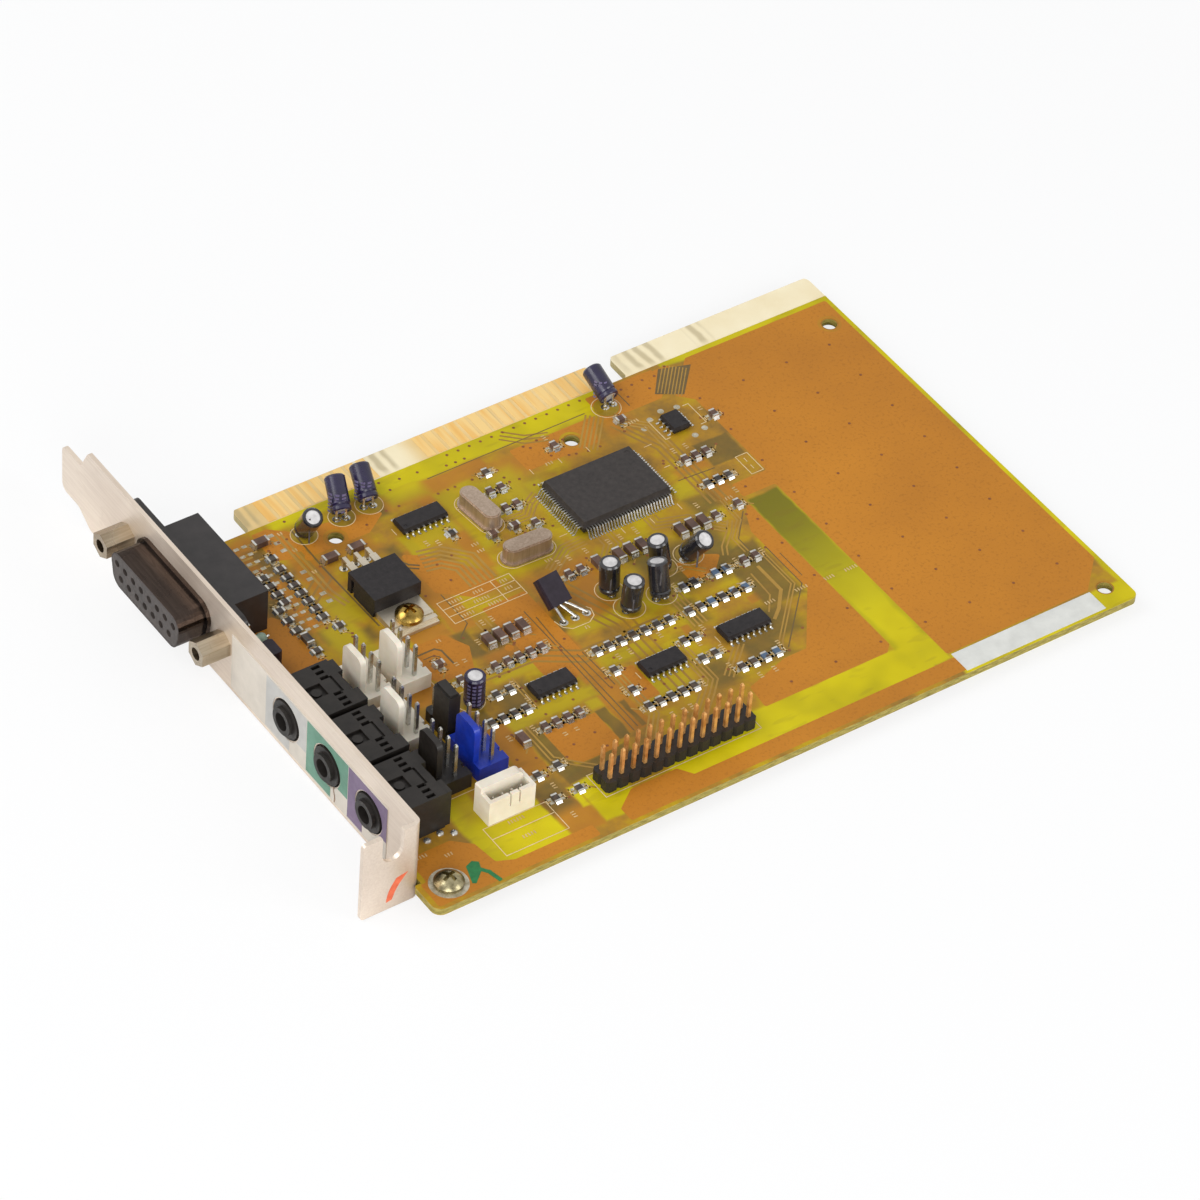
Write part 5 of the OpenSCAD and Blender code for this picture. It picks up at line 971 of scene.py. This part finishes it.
class CARD_OT_tracks(bpy.types.Operator):
    """Adds the tracks of both sides as thin ribbons"""

    bl_idname = "card.tracks"
    bl_label = "Tracks"

    def execute(self, context):
        st = settings()
        rng = np.random.RandomState(st.seed)
        short, ends = stubs(rng)

        def lines(table, layer, finish):
            return [(*strips(bus(p, n, d), w, LAYER[layer]), finish) for p, n, d, w in table]

        parts = lines(HIDDEN, "hidden", "hidden_track")
        parts += [
            (*sheets(DARK_SHEETS, LAYER["sheet"]), "dark_gap"),
            (*sheets(COPPER_SHEETS, LAYER["sheet"]), "orange_mask"),
            (*discs([c[:2] for c in CAP_RINGS], 2.5, LAYER["sheet"], 24), "ring_yellow"),
            (*discs(PATCHES, 0.9, LAYER["pad"], 12), "orange_mask"),
        ]
        parts += lines(TRACKS, "track", "fine_track") + lines(GAPS_AND_SHADOW, "track", "dark_gap")
        parts.append((*strips(short, st.track / MM, LAYER["stub"]), "fine_track"))
        # The lower side's ribbons face down
        lower = lines(UNDER, "under", "track")
        parts += [(points, faces[:, ::-1], finish) for points, faces, finish in lower]
        add_piece(PREFIX + "_tracks", parts)
        row_x = TONGUE_VIA_X + CONTACT_PITCH * np.arange(TONGUE_VIAS)
        row = np.stack([row_x, np.full(TONGUE_VIAS, TONGUE_VIA_Y)], axis=1)
        spots = np.concatenate([ends, VIAS, row, FIELD_VIAS])
        r = st.via / MM
        parts = [(*discs(spots, r, LAYER["via"], 10, r * 0.45), "via_dark"),
                 (*discs(spots, r * 0.45, LAYER["via"], 8), "via_dark")]
        add_piece(PREFIX + "_vias", parts)
        return {"FINISHED"}


class CARD_OT_pads(bpy.types.Operator):
    """Adds the tinned rings round leads and the solder under surface parts"""

    bl_idname = "card.pads"
    bl_label = "Pads"

    def execute(self, context):
        r = settings().pad / MM
        low, high = solid_boxes("solder_joints")
        ring = discs((low[:, :2] + high[:, :2]) / 2, r, LAYER["ring"], 20, r * 0.5)
        mid, long_x = chip_layout()
        reach = turned(long_x, 1.0, 0.0) * 1.12
        ends = np.concatenate([mid + reach, mid - reach])
        half = np.concatenate([turned(long_x, 0.42, 0.78)] * 2)
        pads = rects(np.concatenate([ends - half, ends + half], axis=1), LAYER["pad"])
        column = []
        for x, half_x, half_y, rows in PORT_COLUMNS:
            column += [(x - half_x, PORT_ROWS[i] - half_y, x + half_x, PORT_ROWS[i] + half_y) for i in rows]
        bare = rects(column, LAYER["bare_pad"])
        blobs = domes(BLOBS, 0.75, 0.45, 0.0)
        parts = [(*ring, "tin"), (*pads, "pad_tin"), (*bare, "pad_tin"), (*blobs, "tin")]
        add_piece(PREFIX + "_pads", parts)
        return {"FINISHED"}


class CARD_OT_printing(bpy.types.Operator):
    """Adds the printed outlines round the parts"""

    bl_idname = "card.printing"
    bl_label = "Printing"

    def execute(self, context):
        lines = [rect_lines(PRINT_BOXES), np.array(TABLE_LINES)]
        for x, y, length, width in CHIPS:
            start, half = x - length / 2 - 0.9, (width / 2 + 0.2) * 0.4
            lines.append(chain([(start, y + half), (start, y - half)]))
        lines += [np.array(TICKS), rect_lines([LINK_BOX]), np.array(LINK_MARKS)]
        a = np.linspace(0, 2 * math.pi, 30, endpoint=False)
        for x, y, r in CAP_RINGS:
            lines.append(loop(np.stack([x + r * np.cos(a), y + r * np.sin(a)], axis=1)))
        lines += [loop(crystal_outline(*row, a)) for row in CRYSTALS]
        lines.append(chain(TRANSISTOR_ARC))
        lines += chip_prints()
        outlines = strips(np.concatenate(lines), settings().line / MM, LAYER["print"])
        strokes = strips(np.concatenate([label_strokes(*row) for row in LABELS]), 0.26, LAYER["stroke"])
        add_piece(PREFIX + "_printing", [(*outlines, "print"), (*strokes, "faint_print")])
        return {"FINISHED"}


class CARD_OT_marks(bpy.types.Operator):
    """Adds the pen strokes, the scratch on the label, the printed marks on the blue capacitors and a painted
    highlight stripe on the black ones
    """

    bl_idname = "card.marks"
    bl_label = "Marks"

    def execute(self, context):
        blue = sleeve_bands("blue_capacitors", BLUE_SPANS, BLUE_ROWS)
        # The black sleeves get a painted sheen stripe, a lighter band where a highlight would fall
        black_sheen = sleeve_bands("black_capacitors", BLACK_SHEEN_SPANS, BLACK_SHEEN_ROWS)
        parts = [(*blue, "blue_print"), (*black_sheen, "black_print")]
        add_piece(PREFIX + "_sleeve_print_and_sheen", parts)
        tail = strips(chain(PEN_TAIL), 0.85, LAYER["pen"])
        blot = sheets([PEN_BLOT], LAYER["blot"])
        parts = [(*tail, "green_pen"), (*blot, "green_pen"), (*tab_stroke(), "orange_pen"),
                 (*label_scratch(), "brown_scratch")]
        add_piece(PREFIX + "_pen_marks", parts)
        return {"FINISHED"}


# The studio: lights as name, place, size and power, the camera and the surround

LIGHTS = (
    ("key", (-0.75, 0.45, 1.0), 0.8, 7.5), ("front", (-0.8, -1.0, 0.42), 0.9, 11.0),
    ("right", (0.55, -1.0, 0.5), 0.6, 4.5),
)
FLOOR_HALF, FLOOR_Z = 4.0, -0.0002
CAMERA_LENS = 177.28
CAMERA_EYE = (-419.32, -577.56, 748.38)
CAMERA_RIGHT = (0.82208, -0.56607, 0.06130)
CAMERA_UP = (0.35252, 0.59057, 0.72592)
CAMERA_BACK = (-0.44711, -0.57516, 0.68504)


def add_floor():
    """A wide pale floor under the card that the camera sees as nearly white."""
    g, z = FLOOR_HALF, FLOOR_Z
    floor = build("stage_floor", [(-g, -g, z), (g, -g, z), (g, g, z), (-g, g, z)], [[0, 1, 2, 3]], [])
    s = Shader("stage_floor")
    s.finish(s.ramp(s.noise(3.0), (0.0, 238.6, 238.6, 238.6), (1.0, 243.4, 243.4, 243.4)), 0.8)
    glow = s.add("ShaderNodeEmission")
    glow.inputs[0].default_value = (1.0, 1.0, 1.0, 1.0)
    glow.inputs[1].default_value = 1.0
    seen = s.add("ShaderNodeLightPath").outputs["Is Camera Ray"]
    blend = s.add("ShaderNodeMixShader")
    s.join(s.math("MULTIPLY", seen, 0.8), blend.inputs[0])
    s.join(s.bsdf.outputs[0], blend.inputs[1])
    s.join(glow.outputs[0], blend.inputs[2])
    s.join(blend.outputs[0], s.out.inputs[0])
    floor.data.materials.append(s.material)


def add_surround(scene):
    """Soft light from all round, brighter in reflections, and plain white behind the card."""
    world = bpy.data.worlds.new("studio")
    scene.world = world
    world.use_nodes = True
    tree = world.node_tree
    tree.nodes.clear()

    def background(colour, strength):
        node = tree.nodes.new("ShaderNodeBackground")
        node.inputs[0].default_value = (*colour, 1.0)
        node.inputs[1].default_value = strength
        return node.outputs[0]

    def choose(ray, usual, special):
        node = tree.nodes.new("ShaderNodeMixShader")
        tree.links.new(path.outputs[ray], node.inputs[0])
        tree.links.new(usual, node.inputs[1])
        tree.links.new(special, node.inputs[2])
        return node.outputs[0]

    path = tree.nodes.new("ShaderNodeLightPath")
    glossy = choose("Is Glossy Ray", background((0.95, 0.97, 1.0), 0.5), background((1.0, 0.99, 0.97), 0.85))
    seen = choose("Is Camera Ray", glossy, background((1.0, 1.0, 1.0), 1.0))
    tree.links.new(seen, tree.nodes.new("ShaderNodeOutputWorld").inputs[0])


def add_lights(scene):
    """Three soft square lamps that look at the card's middle."""
    for name, spot, size, power in LIGHTS:
        data = bpy.data.lights.new(name, "AREA")
        data.size = size
        data.energy = power
        lamp = bpy.data.objects.new(name, data)
        lamp.location = spot
        lamp.rotation_euler = (-Vector(spot)).to_track_quat("-Z", "Y").to_euler()
        scene.collection.objects.link(lamp)


def add_camera(scene):
    """A long lens above the bracket's near end."""
    data = bpy.data.cameras.new("camera")
    data.lens = CAMERA_LENS
    data.sensor_width = 36.0
    data.clip_start = 0.01
    data.clip_end = 20.0
    data.dof.use_dof = False
    camera = bpy.data.objects.new("camera", data)
    turn = Matrix((CAMERA_RIGHT, CAMERA_UP, CAMERA_BACK)).transposed()
    camera.matrix_world = Matrix.Translation(Vector(place(CAMERA_EYE))) @ turn.to_4x4()
    scene.collection.objects.link(camera)
    scene.camera = camera


class CARD_OT_stage(bpy.types.Operator):
    """Adds the floor, the soft lights, the white surround and the camera"""

    bl_idname = "card.stage"
    bl_label = "Stage"

    def execute(self, context):
        add_floor()
        add_surround(context.scene)
        add_lights(context.scene)
        add_camera(context.scene)
        context.scene.view_settings.view_transform = "Standard"
        return {"FINISHED"}


class CARD_PT_panel(bpy.types.Panel):
    bl_idname = "CARD_PT_panel"
    bl_label = "Sound Card"
    bl_space_type = "VIEW_3D"
    bl_region_type = "UI"
    bl_category = "Sound Card"

    def draw(self, context):
        for name in ("track", "line", "via", "pad", "seed"):
            self.layout.prop(context.scene.card_settings, name)
        for op in OPERATORS:
            self.layout.operator(op.bl_idname)


OPERATORS = (
    CARD_OT_finishes, CARD_OT_tracks, CARD_OT_pads, CARD_OT_printing, CARD_OT_marks, CARD_OT_stage,
)
CLASSES = (CardSettings, *OPERATORS, CARD_PT_panel)


def register():
    for c in CLASSES:
        bpy.utils.register_class(c)
    bpy.types.Scene.card_settings = PointerProperty(type=CardSettings)


def unregister():
    del bpy.types.Scene.card_settings
    for c in reversed(CLASSES):
        bpy.utils.unregister_class(c)


def main():
    register()
    bpy.ops.card.finishes()
    bpy.ops.card.tracks()
    bpy.ops.card.pads()
    bpy.ops.card.printing()
    bpy.ops.card.marks()
    bpy.ops.card.stage()


if __name__ == "__main__":
    main()
